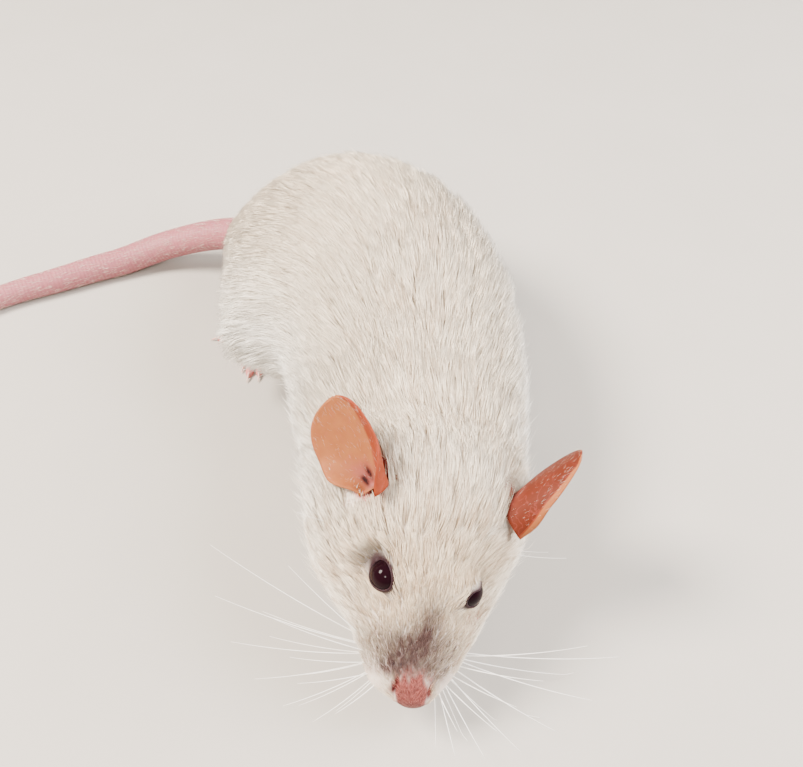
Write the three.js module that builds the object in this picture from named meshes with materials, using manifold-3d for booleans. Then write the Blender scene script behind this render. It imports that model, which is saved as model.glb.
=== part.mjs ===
// A white pet mouse at life size, crouched on the floor with its head turned down and a little to one side.
// Millimetres, +Z up. The mouse faces -Y and its right side is towards -X.
// The solids reach to the tips of the coat.
//
// The head and trunk are one sweep of oval sections along the spine, with swellings such as the thighs.
// Thin cuts part that sweep into named lengths. Ears, eyes, limbs and tail stop a thin gap short of it.

import * as THREE from 'three';
import { LoftGeometry } from 'three/addons/geometries/LoftGeometry.js';
import { mergeVertices } from 'three/addons/utils/BufferGeometryUtils.js';
import Module from 'manifold-3d';

const wasm = await Module();
wasm.setup();

// ---------------------------------------------------------------- driving dimensions
const GAP = 0.3;                     // between two solids that meet
const END = 0.3;                     // the sweep starts and stops this far inside its pointed ends
const RING = 28;                     // points round a body section
const BODY_STEPS = 33;               // sections from nose to tail root
const DEG = Math.PI / 180;

const HEAD_YAW = -7.7 * DEG;         // nose turned to the mouse's right
const HEAD_PITCH = 23.5 * DEG;       // nose down
const HEAD_ROLL = -17.5 * DEG;       // right side of the head turned up
const NOSE_HEIGHT = 7.5;             // nose tip above the floor

// Head stations: distance back from the nose tip, half width, top and bottom from the nose line,
// and shift to the left.
const HEAD = [
  { back: 0.2, half: 2.9, top: 1.3, bottom: -2.7, left: 0.35 },
  { back: 2.6, half: 5.0, top: 2.8, bottom: -4.2, left: 0.15 },
  { back: 5.5, half: 6.4, top: 4.3, bottom: -5.6, left: 0.0 },
  { back: 8.5, half: 8.0, top: 5.6, bottom: -6.9, left: -0.1 },
  { back: 12.0, half: 10.2, top: 7.1, bottom: -8.3, left: -0.4 },
  { back: 16.5, half: 12.4, top: 8.7, bottom: -10.2, left: -0.9 },
  { back: 22.0, half: 13.6, top: 10.0, bottom: -12.4, left: -1.1 },
];

// Trunk stations: plan position of the spine, top and bottom above the floor, half width,
// and share of the head's roll.
const TRUNK = [
  { name: 'neck', x: 1.2, y: 27.5, top: 25.8, bottom: 5.0, half: 13.9, twist: 0.7 },
  { name: 'shoulder', x: 0.8, y: 35.0, top: 26.8, bottom: 5.0, half: 15.0, twist: 0.35 },
  { name: 'chest', x: 0.4, y: 42.5, top: 28.0, bottom: 4.2, half: 15.8, twist: 0.1 },
  { name: 'waist', x: -0.8, y: 50.0, top: 29.6, bottom: 3.2, half: 16.8, twist: 0 },
  { name: 'loin', x: -3.2, y: 57.5, top: 30.6, bottom: 2.4, half: 17.8, twist: 0 },
  { name: 'haunch', x: -7.2, y: 64.5, top: 31.0, bottom: 1.8, half: 18.6, twist: 0 },
  { name: 'rump', x: -12.6, y: 70.5, top: 28.6, bottom: 2.0, half: 17.6, twist: 0 },
  { name: 'croup', x: -18.8, y: 75.6, top: 22.0, bottom: 2.8, half: 13.6, twist: 0 },
  { name: 'root', x: -25.0, y: 79.6, top: 14.4, bottom: 3.8, half: 7.6, twist: 0 },
];

// Swellings of the sweep: along = mm from the nose on the spine, round = degrees from the mouse's right
// over its back, spread and turn = reach in mm and degrees.
const SWELLINGS = [
  { name: 'thigh_right', along: 71, round: -18, spread: 10, turn: 38, height: 5.4 },
  { name: 'knee_right', along: 59.5, round: -36, spread: 6, turn: 28, height: 3.0 },
  { name: 'thigh_left', along: 68, round: 208, spread: 11, turn: 34, height: 0.8 },
  { name: 'flank_right', along: 40, round: -12, spread: 16, turn: 40, height: 0.9 },
  { name: 'eye_hollow_right', along: 13.2, round: 44, spread: 3.6, turn: 19, height: -1.5 },
  { name: 'eye_hollow_left', along: 13.2, round: 136, spread: 3.6, turn: 19, height: -1.5 },
  { name: 'cheek_right', along: 13, round: 6, spread: 5, turn: 40, height: 0.5 },
];

// Cuts across the sweep, in mm from the nose tip along the spine.
const CUTS = { neck: 27, chest: 35, abdomen: 49, rump: 64 };

const EYE = { radius: 1.85, back: 12.1, middle: -0.35, apart: 4.45, up: 4.3 };
const NOSE_PAD = { reach: [2.2, 3.2, 2.5], back: 0.0, left: 0.1, up: -0.4 };
const JAW = { front: 3.2, rear: 14.5, under: -4.3, drop: 0.16, deep: 12, wide: 30 };

// Ears: a sheet rolled into a tube at the root and opening into a shallow cup towards the tip.
const EAR = {
  thick: 0.6, tube: 2.3, broad: 5.3, roll: 130 * DEG, cup: 44 * DEG, crease: 24 * DEG, frontTaper: 0.35,
  leanBack: 2.2, levels: 9, strips: 10,
};
const EARS = [
  { name: 'ear_right', side: -1, root: [22.0, -7.9, 6.0], axis: [-0.66, -0.68, 0.32],
    open: [0.66, -0.52, 0.54], height: 10.6 },
  { name: 'ear_left', side: 1, root: [22.0, 7.2, 5.4], axis: [-0.50, 0.68, 0.50],
    open: [0.62, 0.62, -0.2], height: 10.8 },
];

// Whiskers: a fan on each side of the muzzle, from the long rear ones to the short ones in front. Swing is
// degrees forward of straight sideways, first at the rear and then in front; rise is degrees upward.
// They bend back and down by the sag, as a share of their length.
const WHISKER = {
  count: 6,
  rear: { back: 5.8, out: 5.2, up: -1.1, long: 20 },
  front: { back: 2.1, out: 3.6, up: -1.7, long: 9 },
  sag: { forward: -0.10, up: -0.14 }, rootHalf: 0.16, tipHalf: 0.06, steps: 4, sides: 3,
};
const WHISKER_FANS = [
  { name: 'whisker_right', side: -1, swing: [-18, 48], rise: -4 },
  { name: 'whisker_left', side: 1, swing: [0, 72], rise: 14 },
];

// Feet: heel, and heading of the sole in degrees from straight ahead towards the outside.
// Each toe is its fan angle from that heading, its length, and its root's distance from the heel.
const HIND_FOOT = { sole: 11.5, heelHalf: 1.6, toeHalf: 2.6, heelHigh: 3.2, toeHigh: 1.9 };
const FORE_FOOT = { sole: 3.6, heelHalf: 1.3, toeHalf: 2.0, heelHigh: 2.3, toeHigh: 1.6 };
const TOE = { half: 0.72, tipHalf: 0.55, high: 1.35, claw: 1.3, clawHalf: 0.26, clawHigh: 0.5 };
const FEET = [
  { name: 'hind_foot_right', kind: HIND_FOOT, side: -1, heel: [-19.6, 71.6], heading: 24,
    toes: [[-32, 4.2, 8.6], [-23, 5.6, 10.4], [-18, 5.8, 10.8], [-14, 4.6, 10.4], [62, 5.4, 8.6]] },
  { name: 'hind_foot_left', kind: HIND_FOOT, side: 1, heel: [5.6, 70.6], heading: 18,
    toes: [[-30, 4.2, 8.6], [-16, 5.6, 10.4], [-4, 6.0, 11.0], [9, 5.8, 10.6], [30, 5.0, 8.8]] },
  { name: 'forepaw_right', kind: FORE_FOOT, side: -1, heel: [-8.2, 30.6], heading: 8,
    toes: [[-30, 2.3, 3.0], [-10, 2.9, 3.4], [10, 2.9, 3.4], [32, 2.3, 3.0]] },
  { name: 'forepaw_left', kind: FORE_FOOT, side: 1, heel: [9.2, 31.6], heading: 8,
    toes: [[-30, 2.3, 3.0], [-10, 2.9, 3.4], [10, 2.9, 3.4], [32, 2.3, 3.0]] },
];

// Thighs: ovals that are cut out of the sweep. Lower legs run from the body down to the wrist or heel.
const THIGHS = [
  { name: 'thigh_right', at: [-27.0, 64.0, 9.5], reach: [11.5, 12.5, 12.0], turn: 25 },
  { name: 'thigh_left', at: [11.0, 63.5, 9.5], reach: [11.0, 12.5, 12.0], turn: 25 },
];
const LOWER_LEGS = [
  { name: 'foreleg_right', top: [-8.8, 36.5, 9.5], bottom: [-8.2, 30.4, 2.6], thick: 2.5 },
  { name: 'foreleg_left', top: [9.4, 37.5, 9.5], bottom: [9.2, 31.4, 2.6], thick: 2.5 },
  { name: 'shank_right', top: [-22.5, 62.5, 7.5], bottom: [-20.4, 70.6, 2.6], thick: 3.0 },
  { name: 'shank_left', top: [9.0, 60.5, 7.5], bottom: [6.4, 69.6, 2.6], thick: 3.0 },
];

// Tail: its route over the floor in plan, its radius at the root and tip, and where it has come down
// to the floor.
const TAIL_ROUTE = [
  [-22.0, 78.0], [-30.4, 82.2], [-42.0, 83.8], [-51.0, 81.2], [-59.0, 77.5], [-67.7, 72.9],
  [-77.0, 65.5], [-84.5, 56.5], [-89.5, 46.5], [-92.0, 36.5],
];
const TAIL = { rootRadius: 2.8, tipRadius: 0.6, rootHeight: 9.4, landed: 34, sides: 10, lengths: 4 };

const COLOURS = {
  coat: 0xece9e2, pink: 0xd9a09a, ear: 0xd49a78, eye: 0x1c060c, tail: 0xc49a9c, whisker: 0xf2eee8,
};
const finish = (color, roughness) => new THREE.MeshStandardMaterial({ color, roughness, metalness: 0 });
const coat = finish(COLOURS.coat, 0.85);
const pinkSkin = finish(COLOURS.pink, 0.55);
const earSkin = finish(COLOURS.ear, 0.55);
const eyeGloss = finish(COLOURS.eye, 0.08);
const tailSkin = finish(COLOURS.tail, 0.6);
const stiffHair = finish(COLOURS.whisker, 0.4);

// ---------------------------------------------------------------- small helpers
const V = (x, y, z) => new THREE.Vector3(x, y, z);
const UP = V(0, 0, 1);

// Smooth curve through (knots, values): cubic pieces whose slope at a knot is that of the parabola
// through its neighbours.
function glide(knots, values, at) {
  const last = knots.length - 1;
  let i = 0;
  while (i < last - 1 && at > knots[i + 1]) i++;
  const run = (k) => knots[k + 1] - knots[k];
  const rise = (k) => (values[k + 1] - values[k]) / run(k);
  const slope = (k) => {
    if (k === 0) return rise(0);
    if (k === last) return rise(last - 1);
    return (run(k) * rise(k - 1) + run(k - 1) * rise(k)) / (run(k) + run(k - 1));
  };
  const h = run(i);
  const p = (at - knots[i]) / h;
  const ease = p * p * (3 - 2 * p);
  return values[i] * (1 - ease) + values[i + 1] * ease
    + h * p * (1 - p) * (slope(i) * (1 - p) - slope(i + 1) * p);
}

function solidOf(geometry) {
  const bare = new THREE.BufferGeometry();
  bare.setAttribute('position', geometry.attributes.position);
  bare.setIndex(geometry.index);
  const merged = mergeVertices(bare, 1e-4);
  return new wasm.Manifold(new wasm.Mesh({
    numProp: 3,
    vertProperties: new Float32Array(merged.attributes.position.array),
    triVerts: new Uint32Array(merged.index.array),
  }));
}

function geometryOf(solid) {
  const { vertProperties, triVerts } = solid.getMesh();
  const geometry = new THREE.BufferGeometry();
  geometry.setAttribute('position', new THREE.BufferAttribute(new Float32Array(vertProperties), 3));
  geometry.setIndex(new THREE.BufferAttribute(new Uint32Array(triVerts), 1));
  geometry.computeVertexNormals();
  return geometry;
}

// A closed loft through rings of points, turned round where they run the wrong way for its faces.
function loft(rings) {
  const normal = V(0, 0, 0);
  const ring = rings[Math.floor(rings.length / 2)];
  ring.forEach((p, i) => normal.add(p.clone().cross(ring[(i + 1) % ring.length])));
  const middle = (points) => points.reduce((sum, p) => sum.add(p), V(0, 0, 0)).divideScalar(points.length);
  const onward = middle(rings[rings.length - 1]).sub(middle(rings[0]));
  const ordered = normal.dot(onward) < 0 ? rings.map((points) => [...points].reverse()) : rings;
  return solidOf(new LoftGeometry(ordered, { capStart: true, capEnd: true }));
}

const mouse = new THREE.Group();
mouse.name = 'mouse';
function add(name, solid, material) {
  const mesh = new THREE.Mesh(geometryOf(solid), material);
  mesh.name = name;
  mouse.add(mesh);
  return mesh;
}

// ---------------------------------------------------------------- head frame
const level = V(Math.sin(HEAD_YAW), -Math.cos(HEAD_YAW), 0);
const FORWARD = level.clone().multiplyScalar(Math.cos(HEAD_PITCH))
  .addScaledVector(UP, -Math.sin(HEAD_PITCH));
const crown = level.clone().multiplyScalar(Math.sin(HEAD_PITCH)).addScaledVector(UP, Math.cos(HEAD_PITCH));
const flat = crown.clone().cross(FORWARD);
const LEFT = flat.multiplyScalar(Math.cos(HEAD_ROLL)).addScaledVector(crown, Math.sin(HEAD_ROLL));
const CROWN = FORWARD.clone().cross(LEFT);
const inHead = (back, left, up) => V(0, 0, NOSE_HEIGHT)
  .addScaledVector(FORWARD, -back).addScaledVector(LEFT, left).addScaledVector(CROWN, up);
const headDirection = (forward, left, up) => V(0, 0, 0)
  .addScaledVector(FORWARD, forward).addScaledVector(LEFT, left).addScaledVector(CROWN, up).normalize();

// ---------------------------------------------------------------- the sweep
const stations = [
  { at: inHead(-1.1, 0.3, -1.1), half: 0, high: 0, up: CROWN },
  ...HEAD.map((h) => ({
    at: inHead(h.back, h.left, (h.top + h.bottom) / 2),
    half: h.half,
    high: (h.top - h.bottom) / 2,
    up: CROWN,
  })),
  ...TRUNK.map((t) => ({
    at: V(t.x, t.y, (t.top + t.bottom) / 2), half: t.half, high: (t.top - t.bottom) / 2,
    up: UP.clone().lerp(CROWN, t.twist),
  })),
];
const rootStation = stations[stations.length - 1];
const beforeRoot = stations[stations.length - 2];
stations.push({
  at: rootStation.at.clone().lerp(beforeRoot.at, -0.45), half: 0, high: 0, up: UP,
});
const along = [0];
for (let i = 1; i < stations.length; i++) {
  along.push(along[i - 1] + stations[i].at.distanceTo(stations[i - 1].at));
}
const SPINE = along[along.length - 1];

function spine(s) {
  return V(...['x', 'y', 'z'].map((axis) => glide(along, stations.map((k) => k.at[axis]), s)));
}

// Section at s mm from the nose: centre, the mouse's right, its up, and the half width and height.
function frameAt(s) {
  const step = 0.05;
  const centre = spine(s);
  const ahead = spine(Math.min(s + step, SPINE)).sub(spine(Math.max(s - step, 0))).normalize();
  const up = V(...['x', 'y', 'z'].map((axis) => glide(along, stations.map((k) => k.up[axis]), s)));
  const right = up.clone().cross(ahead).normalize();
  up.copy(ahead).cross(right).normalize();
  const square = (key) => Math.sqrt(Math.max(glide(along, stations.map((k) => k[key] ** 2), s), 0));
  return { centre, right, up, half: square('half'), high: square('high') };
}

// Height of the swellings at s along and a round, in mm.
function swelling(s, a) {
  let total = 0;
  for (const w of SWELLINGS) {
    const away = ((a / DEG - w.round + 540) % 360) - 180;
    total += w.height * Math.exp(-(((s - w.along) / w.spread) ** 2) - (away / w.turn) ** 2);
  }
  return total;
}

function section(s, grow = 0) {
  const { centre, right, up, half, high } = frameAt(s);
  return Array.from({ length: RING }, (_, i) => {
    const a = (i / RING) * 2 * Math.PI;
    const out = swelling(s, a) + grow;
    return centre.clone()
      .addScaledVector(right, (half + out) * Math.cos(a))
      .addScaledVector(up, (high + out) * Math.sin(a));
  });
}

// The sweep from one place along the spine to another, its ends closed.
function sweep(from, to, grow = 0) {
  const stride = SPINE / BODY_STEPS;
  const places = [from];
  for (let k = 0; k <= BODY_STEPS; k++) {
    const s = k * stride;
    if (s > from + stride / 3 && s < to - stride / 3) places.push(s);
  }
  places.push(to);
  return loft(places.map((s) => section(s, grow)));
}

function oval(at, axes, reach, detail = 2) {
  const shape = new THREE.IcosahedronGeometry(1, detail);
  const [x, y, z] = axes.map((axis, k) => axis.clone().multiplyScalar(reach[k]));
  shape.applyMatrix4(new THREE.Matrix4().makeBasis(x, y, z).setPosition(at));
  return solidOf(shape);
}

function block(at, axes, size) {
  const shape = new THREE.BoxGeometry(...size);
  shape.applyMatrix4(new THREE.Matrix4().makeBasis(...axes).setPosition(at));
  return solidOf(shape);
}

const HEAD_AXES = [LEFT, FORWARD.clone().negate(), CROWN];
const outerBody = sweep(END, SPINE - END, GAP);

// ---------------------------------------------------------------- head
const eyeAt = (side) => inHead(EYE.back, EYE.middle + side * EYE.apart, EYE.up);
const eye = (side, reach) => oval(eyeAt(side), HEAD_AXES, [reach, reach, reach]);
const nosePad = (grow) => oval(
  inHead(NOSE_PAD.back, NOSE_PAD.left, NOSE_PAD.up), HEAD_AXES, NOSE_PAD.reach.map((r) => r + grow),
);

// Everything under the mouth line, which slopes down towards the corner of the mouth.
function underMouth(inset) {
  const slope = FORWARD.clone().negate().addScaledVector(CROWN, -JAW.drop).normalize();
  const axes = [LEFT.clone().negate(), slope, LEFT.clone().negate().cross(slope)];
  const long = JAW.rear - JAW.front - 2 * inset;
  const fall = JAW.drop * (JAW.rear - JAW.front) / 2;
  const middle = inHead((JAW.front + JAW.rear) / 2, 0, JAW.under - JAW.deep / 2 - inset - fall);
  return block(middle, axes, [JAW.wide, long, JAW.deep]);
}

const wholeHead = sweep(END, CUTS.neck - GAP / 2);
let skull = wholeHead.subtract(nosePad(GAP)).subtract(underMouth(-GAP));
for (const side of [-1, 1]) skull = skull.subtract(eye(side, EYE.radius + GAP));
add('head', skull, coat);
add('nose', wholeHead.intersect(nosePad(0)), pinkSkin);
add('lower_jaw', wholeHead.subtract(nosePad(GAP)).intersect(underMouth(0)), coat);
add('eye_right', eye(-1, EYE.radius), eyeGloss);
add('eye_left', eye(1, EYE.radius), eyeGloss);

// ---------------------------------------------------------------- ears
function ear({ side, root, axis, open, height }) {
  const rise = headDirection(...axis);
  const facing = headDirection(...open);
  facing.addScaledVector(rise, -facing.dot(rise)).normalize();
  const across = facing.clone().cross(rise).multiplyScalar(side);      // towards the front edge
  const rings = [];
  const { levels, strips } = EAR;
  for (let k = 0; k <= levels; k++) {
    const v = 0.985 * Math.sin((k / levels) * Math.PI / 2);
    const unroll = THREE.MathUtils.smoothstep(v, 0, 0.5);
    const curl = THREE.MathUtils.lerp(EAR.roll, EAR.cup, unroll) * (1 - 0.45 * v);
    const wide = THREE.MathUtils.lerp(EAR.roll * EAR.tube, EAR.broad, unroll)
      * Math.sqrt(1 - Math.max((v - 0.5) / 0.5, 0) ** 2.4);
    const base = inHead(...root).addScaledVector(rise, height * v)
      .addScaledVector(facing, -EAR.leanBack * v * (1 - 0.4 * v));
    const line = [];
    let place = V(0, 0, 0);
    for (const way of [-1, 1]) {
      place = V(0, 0, 0);
      const half = [];
      const taper = way > 0 ? 1 - EAR.frontTaper * THREE.MathUtils.smoothstep(v, 0.2, 0.9) : 1;
      for (let j = 0; j < strips / 2; j++) {
        const q = (way * (j + 0.5)) / (strips / 2);
        const fold = unroll * (1 - v * v) * THREE.MathUtils.smoothstep(q, 0.25, 0.55);
        const bend = curl * q + EAR.crease * fold;
        const step = (taper * wide) / (strips / 2);
        place = place.clone().addScaledVector(across, way * step * Math.cos(bend))
          .addScaledVector(facing, way * step * Math.sin(bend));
        half.push(place);
      }
      if (way < 0) line.push(...half.reverse(), V(0, 0, 0));
      else line.push(...half);
    }
    const back = [];
    const front = [];
    line.forEach((p, j) => {
      const before = line[Math.max(j - 1, 0)];
      const after = line[Math.min(j + 1, line.length - 1)];
      const normal = after.clone().sub(before).normalize().cross(rise).multiplyScalar(EAR.thick / 2);
      front.push(base.clone().add(p).add(normal));
      back.push(base.clone().add(p).sub(normal));
    });
    rings.push([...front, ...back.reverse()]);
  }
  return loft(rings);
}
for (const shape of EARS) add(shape.name, ear(shape).subtract(outerBody), earSkin);

// ---------------------------------------------------------------- whiskers
// One whisker: start + long * (t * way + t^2 * sag), thinner towards its tip.
function whisker(share, side, swing, rise) {
  const { rear, front, sag, rootHalf, tipHalf, steps, sides } = WHISKER;
  const at = (key) => THREE.MathUtils.lerp(rear[key], front[key], share);
  const turn = THREE.MathUtils.lerp(swing[0], swing[1], share) * DEG;
  const climb = rise * DEG;
  const way = headDirection(
    Math.cos(climb) * Math.sin(turn), side * Math.cos(climb) * Math.cos(turn), Math.sin(climb),
  );
  const bend = V(0, 0, 0).addScaledVector(FORWARD, sag.forward).addScaledVector(CROWN, sag.up);
  const start = inHead(at('back'), side * at('out'), at('up'));
  const aside = way.clone().cross(UP).normalize();
  const over = aside.clone().cross(way);
  const rings = [];
  for (let k = 0; k <= steps; k++) {
    const t = k / steps;
    const half = THREE.MathUtils.lerp(rootHalf, tipHalf, t);
    const reached = at('long') * t;
    const centre = start.clone().addScaledVector(way, reached).addScaledVector(bend, reached * t);
    rings.push(Array.from({ length: sides }, (_, i) => {
      const a = (i / sides) * 2 * Math.PI;
      return centre.clone().addScaledVector(aside, half * Math.cos(a))
        .addScaledVector(over, half * Math.sin(a));
    }));
  }
  return loft(rings);
}
for (const { name, side, swing, rise } of WHISKER_FANS) {
  for (let k = 0; k < WHISKER.count; k++) {
    const share = k / (WHISKER.count - 1);
    add(`${name}_${k + 1}`, whisker(share, side, swing, rise).subtract(outerBody), stiffHair);
  }
}

// ---------------------------------------------------------------- trunk and thighs
function thighOval({ at, reach, turn }, grow) {
  const lean = turn * DEG;
  const axes = [V(Math.cos(lean), Math.sin(lean), 0), V(-Math.sin(lean), Math.cos(lean), 0), UP];
  return oval(V(...at), axes, reach.map((r) => r + grow), 3);
}
const hindquarters = sweep(CUTS.abdomen + GAP / 2, SPINE - END);
for (const thigh of THIGHS) add(thigh.name, hindquarters.intersect(thighOval(thigh, 0)), coat);

const lengths = [
  ['neck', CUTS.neck, CUTS.chest], ['chest', CUTS.chest, CUTS.abdomen],
  ['abdomen', CUTS.abdomen, CUTS.rump], ['rump', CUTS.rump, SPINE - END + GAP / 2],
];
for (const [name, from, to] of lengths) {
  let piece = sweep(from + GAP / 2, to - GAP / 2);
  for (const thigh of THIGHS) piece = piece.subtract(thighOval(thigh, GAP));
  add(name, piece, coat);
}

// ---------------------------------------------------------------- limbs
// A half-round bar lying on the floor: rings across a line, each given as [distance, half width, height].
function bar(start, heading, rings, sides) {
  const way = V(Math.sin(heading), -Math.cos(heading), 0);
  const across = V(way.y, -way.x, 0);
  const sections = rings.map(([distance, half, high]) => Array.from({ length: sides }, (_, i) => {
    const a = (i / sides) * 2 * Math.PI;
    const z = Math.max(high * (0.38 + 0.62 * Math.sin(a)), 0);
    return start.clone().addScaledVector(way, distance).addScaledVector(across, half * Math.cos(a)).setZ(z);
  }));
  return loft(sections);
}

function foot({ kind, side, heel, heading, toes }) {
  const start = V(heel[0], heel[1], 0);
  const ahead = side * heading * DEG;
  const { sole, heelHalf, toeHalf, heelHigh, toeHigh } = kind;
  let shape = bar(start, ahead, [
    [-0.4, heelHalf * 0.5, heelHigh * 0.6], [0.3, heelHalf * 0.9, heelHigh * 0.95],
    [sole * 0.25, heelHalf, heelHigh],
    [sole * 0.6, (heelHalf + toeHalf) / 2, toeHigh * 1.15], [sole * 0.9, toeHalf, toeHigh],
    [sole + 0.7, toeHalf * 0.7, toeHigh * 0.7],
  ], 8);
  const way = V(Math.sin(ahead), -Math.cos(ahead), 0);
  const outward = V(side * Math.cos(ahead), side * Math.sin(ahead), 0);
  toes.forEach(([fan, long, from], k) => {
    const spread = (k / (toes.length - 1) - 0.5) * 2 * (toeHalf - TOE.half * 0.7);
    const base = start.clone().addScaledVector(way, from).addScaledVector(outward, spread);
    const point = ahead + side * fan * DEG;
    shape = shape.add(bar(base, point, [
      [-1.2, TOE.half, TOE.high], [long * 0.5, TOE.tipHalf, TOE.high * 0.8],
      [long * 0.88, TOE.tipHalf * 1.15, TOE.high * 0.85],
      [long, TOE.clawHalf * 1.2, TOE.clawHigh * 1.3], [long + TOE.claw, TOE.clawHalf, TOE.clawHigh],
    ], 6));
  });
  return shape;
}

// A tapered oval from inside the body to the wrist or heel.
function lowerLeg({ top, bottom, thick }) {
  const from = V(...top);
  const to = V(...bottom);
  const rise = from.clone().sub(to).normalize();
  const aside = V(1, 0, 0).cross(rise).cross(rise).negate().normalize();
  const axes = [aside, rise, aside.clone().cross(rise)];
  const half = from.distanceTo(to) / 2 + thick * 0.6;
  return oval(from.clone().lerp(to, 0.5), axes, [thick, half, thick], 1);
}

// The room that a foot takes, with the gap round it.
function footRoom({ kind, side, heel, heading }) {
  const wide = 0.6;
  return bar(V(heel[0], heel[1], 0), side * heading * DEG, [
    [-1.2, kind.heelHalf + wide, kind.heelHigh + 2 * GAP],
    [kind.sole * 0.5, kind.toeHalf + wide, kind.heelHigh + 2 * GAP],
    [kind.sole * 1.4, kind.toeHalf + wide, kind.toeHigh + 2 * GAP],
  ], 12);
}

for (const shape of FEET) add(shape.name, foot(shape).subtract(outerBody), pinkSkin);
for (const shape of LOWER_LEGS) {
  const leg = lowerLeg(shape).subtract(outerBody);
  add(shape.name, FEET.reduce((piece, nearby) => piece.subtract(footRoom(nearby)), leg), coat);
}

// ---------------------------------------------------------------- tail
const route = new THREE.CatmullRomCurve3(TAIL_ROUTE.map(([x, y]) => V(x, y, 0)), false, 'centripetal');
const TAIL_LENGTH = route.getLength();
function tailLength(from, to) {
  const steps = 8;
  const rings = [];
  for (let k = 0; k <= steps; k++) {
    const s = from + ((to - from) * k) / steps;
    const share = s / TAIL_LENGTH;
    const radius = TAIL.tipRadius + (TAIL.rootRadius - TAIL.tipRadius) * (1 - share ** 1.15) ** 0.9;
    const floor = radius * Math.cos(Math.PI / TAIL.sides);
    const lift = (TAIL.rootHeight - TAIL.rootRadius) * (1 - THREE.MathUtils.smoothstep(s, 2, TAIL.landed));
    const centre = route.getPointAt(share).setZ(floor + lift);
    const way = route.getTangentAt(share);
    const right = V(way.y, -way.x, 0).normalize();
    rings.push(Array.from({ length: TAIL.sides }, (_, i) => {
      const a = ((i + 0.5) / TAIL.sides) * 2 * Math.PI - Math.PI / 2;
      return centre.clone()
        .addScaledVector(right, radius * Math.cos(a))
        .addScaledVector(UP, radius * Math.sin(a));
    }));
  }
  return loft(rings);
}
for (let k = 0; k < TAIL.lengths; k++) {
  const from = (k * (TAIL_LENGTH - 0.2)) / TAIL.lengths + GAP / 2;
  const to = ((k + 1) * (TAIL_LENGTH - 0.2)) / TAIL.lengths - GAP / 2;
  add(`tail_${k + 1}`, tailLength(from, to).subtract(outerBody), tailSkin);
}

// ---------------------------------------------------------------- origin
// The part stands with its origin under the middle of its box, on the floor.
const box = new THREE.Box3().setFromObject(mouse);
mouse.position.set(-(box.min.x + box.max.x) / 2, -(box.min.y + box.max.y) / 2, -box.min.z);
mouse.updateMatrixWorld(true);
export default mouse;
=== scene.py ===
# %% [markdown]
# # A white pet mouse at life size, made as a still museum model
# The mouse crouches on the floor with its head turned down and its tail laid out to one side.
# One closed skin carries the whole body. Over it lies a coat of thin solid tufts, and eyes, claws
# and whiskers are pieces of their own. Every shape is a formula worked out with numpy.

import bpy
import numpy as np
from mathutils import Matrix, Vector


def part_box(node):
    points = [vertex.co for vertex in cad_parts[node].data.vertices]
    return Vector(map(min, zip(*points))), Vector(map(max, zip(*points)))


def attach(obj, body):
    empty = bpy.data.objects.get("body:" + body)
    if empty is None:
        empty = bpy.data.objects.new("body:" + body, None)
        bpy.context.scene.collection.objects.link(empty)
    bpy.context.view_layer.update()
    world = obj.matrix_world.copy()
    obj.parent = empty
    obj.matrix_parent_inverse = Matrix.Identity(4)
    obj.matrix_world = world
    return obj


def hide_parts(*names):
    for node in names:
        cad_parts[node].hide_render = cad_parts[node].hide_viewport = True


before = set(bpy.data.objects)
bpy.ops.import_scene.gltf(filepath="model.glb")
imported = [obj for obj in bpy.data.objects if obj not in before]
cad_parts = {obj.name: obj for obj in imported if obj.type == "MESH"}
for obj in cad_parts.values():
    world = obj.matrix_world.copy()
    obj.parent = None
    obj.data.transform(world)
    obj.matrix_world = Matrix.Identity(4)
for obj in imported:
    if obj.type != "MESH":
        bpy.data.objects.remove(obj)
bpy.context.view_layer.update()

# %% [markdown]
# ## Small helpers
# A smooth body needs few numbers if a smooth curve runs through them. The curve here is made of cubic
# pieces, and its slope at each number is that of the parabola through its neighbours, so it never
# overshoots much. Lengths are in millimetres until a mesh is made.

# %% Curves and vectors
MM = 0.001
TURN = 2 * np.pi


def unit(v):
    """Each vector divided by its own length."""
    return v / np.maximum(np.linalg.norm(v, axis=-1, keepdims=True), 1e-9)


def dot(a, b):
    """Sum of products along the last axis."""
    return (a * b).sum(-1)


def smooth(x, low, high):
    """0 below low, 1 above high, and 3t^2 - 2t^3 between them."""
    t = np.clip((x - low) / (high - low), 0, 1)
    return t * t * (3 - 2 * t)


def hump(x, middle, spread):
    """exp(-((x - middle) / spread)^2): 1 at the middle and fading to both sides."""
    return np.exp(-(((x - middle) / spread) ** 2))


def glide(knots, values, at):
    """Cubic pieces through (knots, values); the slope at a knot is that of its neighbours' parabola."""
    knots = np.asarray(knots, float)
    values = np.asarray(values, float)
    single = values.ndim == 1
    values = values[:, None] if single else values
    run = np.diff(knots)[:, None]
    rise = np.diff(values, axis=0) / run
    inner = (run[1:] * rise[:-1] + run[:-1] * rise[1:]) / (run[1:] + run[:-1])
    slope = np.concatenate([rise[:1], inner, rise[-1:]])
    i = np.clip(np.searchsorted(knots, at, "right") - 1, 0, len(knots) - 2)
    h = run[i]
    p = (np.asarray(at, float)[..., None] - knots[i][..., None]) / h
    ease = p * p * (3 - 2 * p)
    out = (values[i] * (1 - ease) + values[i + 1] * ease
           + h * p * (1 - p) * (slope[i] * (1 - p) - slope[i + 1] * p))
    return out[..., 0] if single else out


print("a curve through 0, 1, 4 at 1.5:", float(glide([0, 1, 2], [0, 1, 4], np.array([1.5]))[0]))

# %% [markdown]
# ## The head's own directions
# The head is turned, tipped down and rolled. Measured from the nose tip, every place on the face has a
# distance back, a distance to the left and a distance up, so both sides of the face share one set of
# numbers and turn together.

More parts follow.
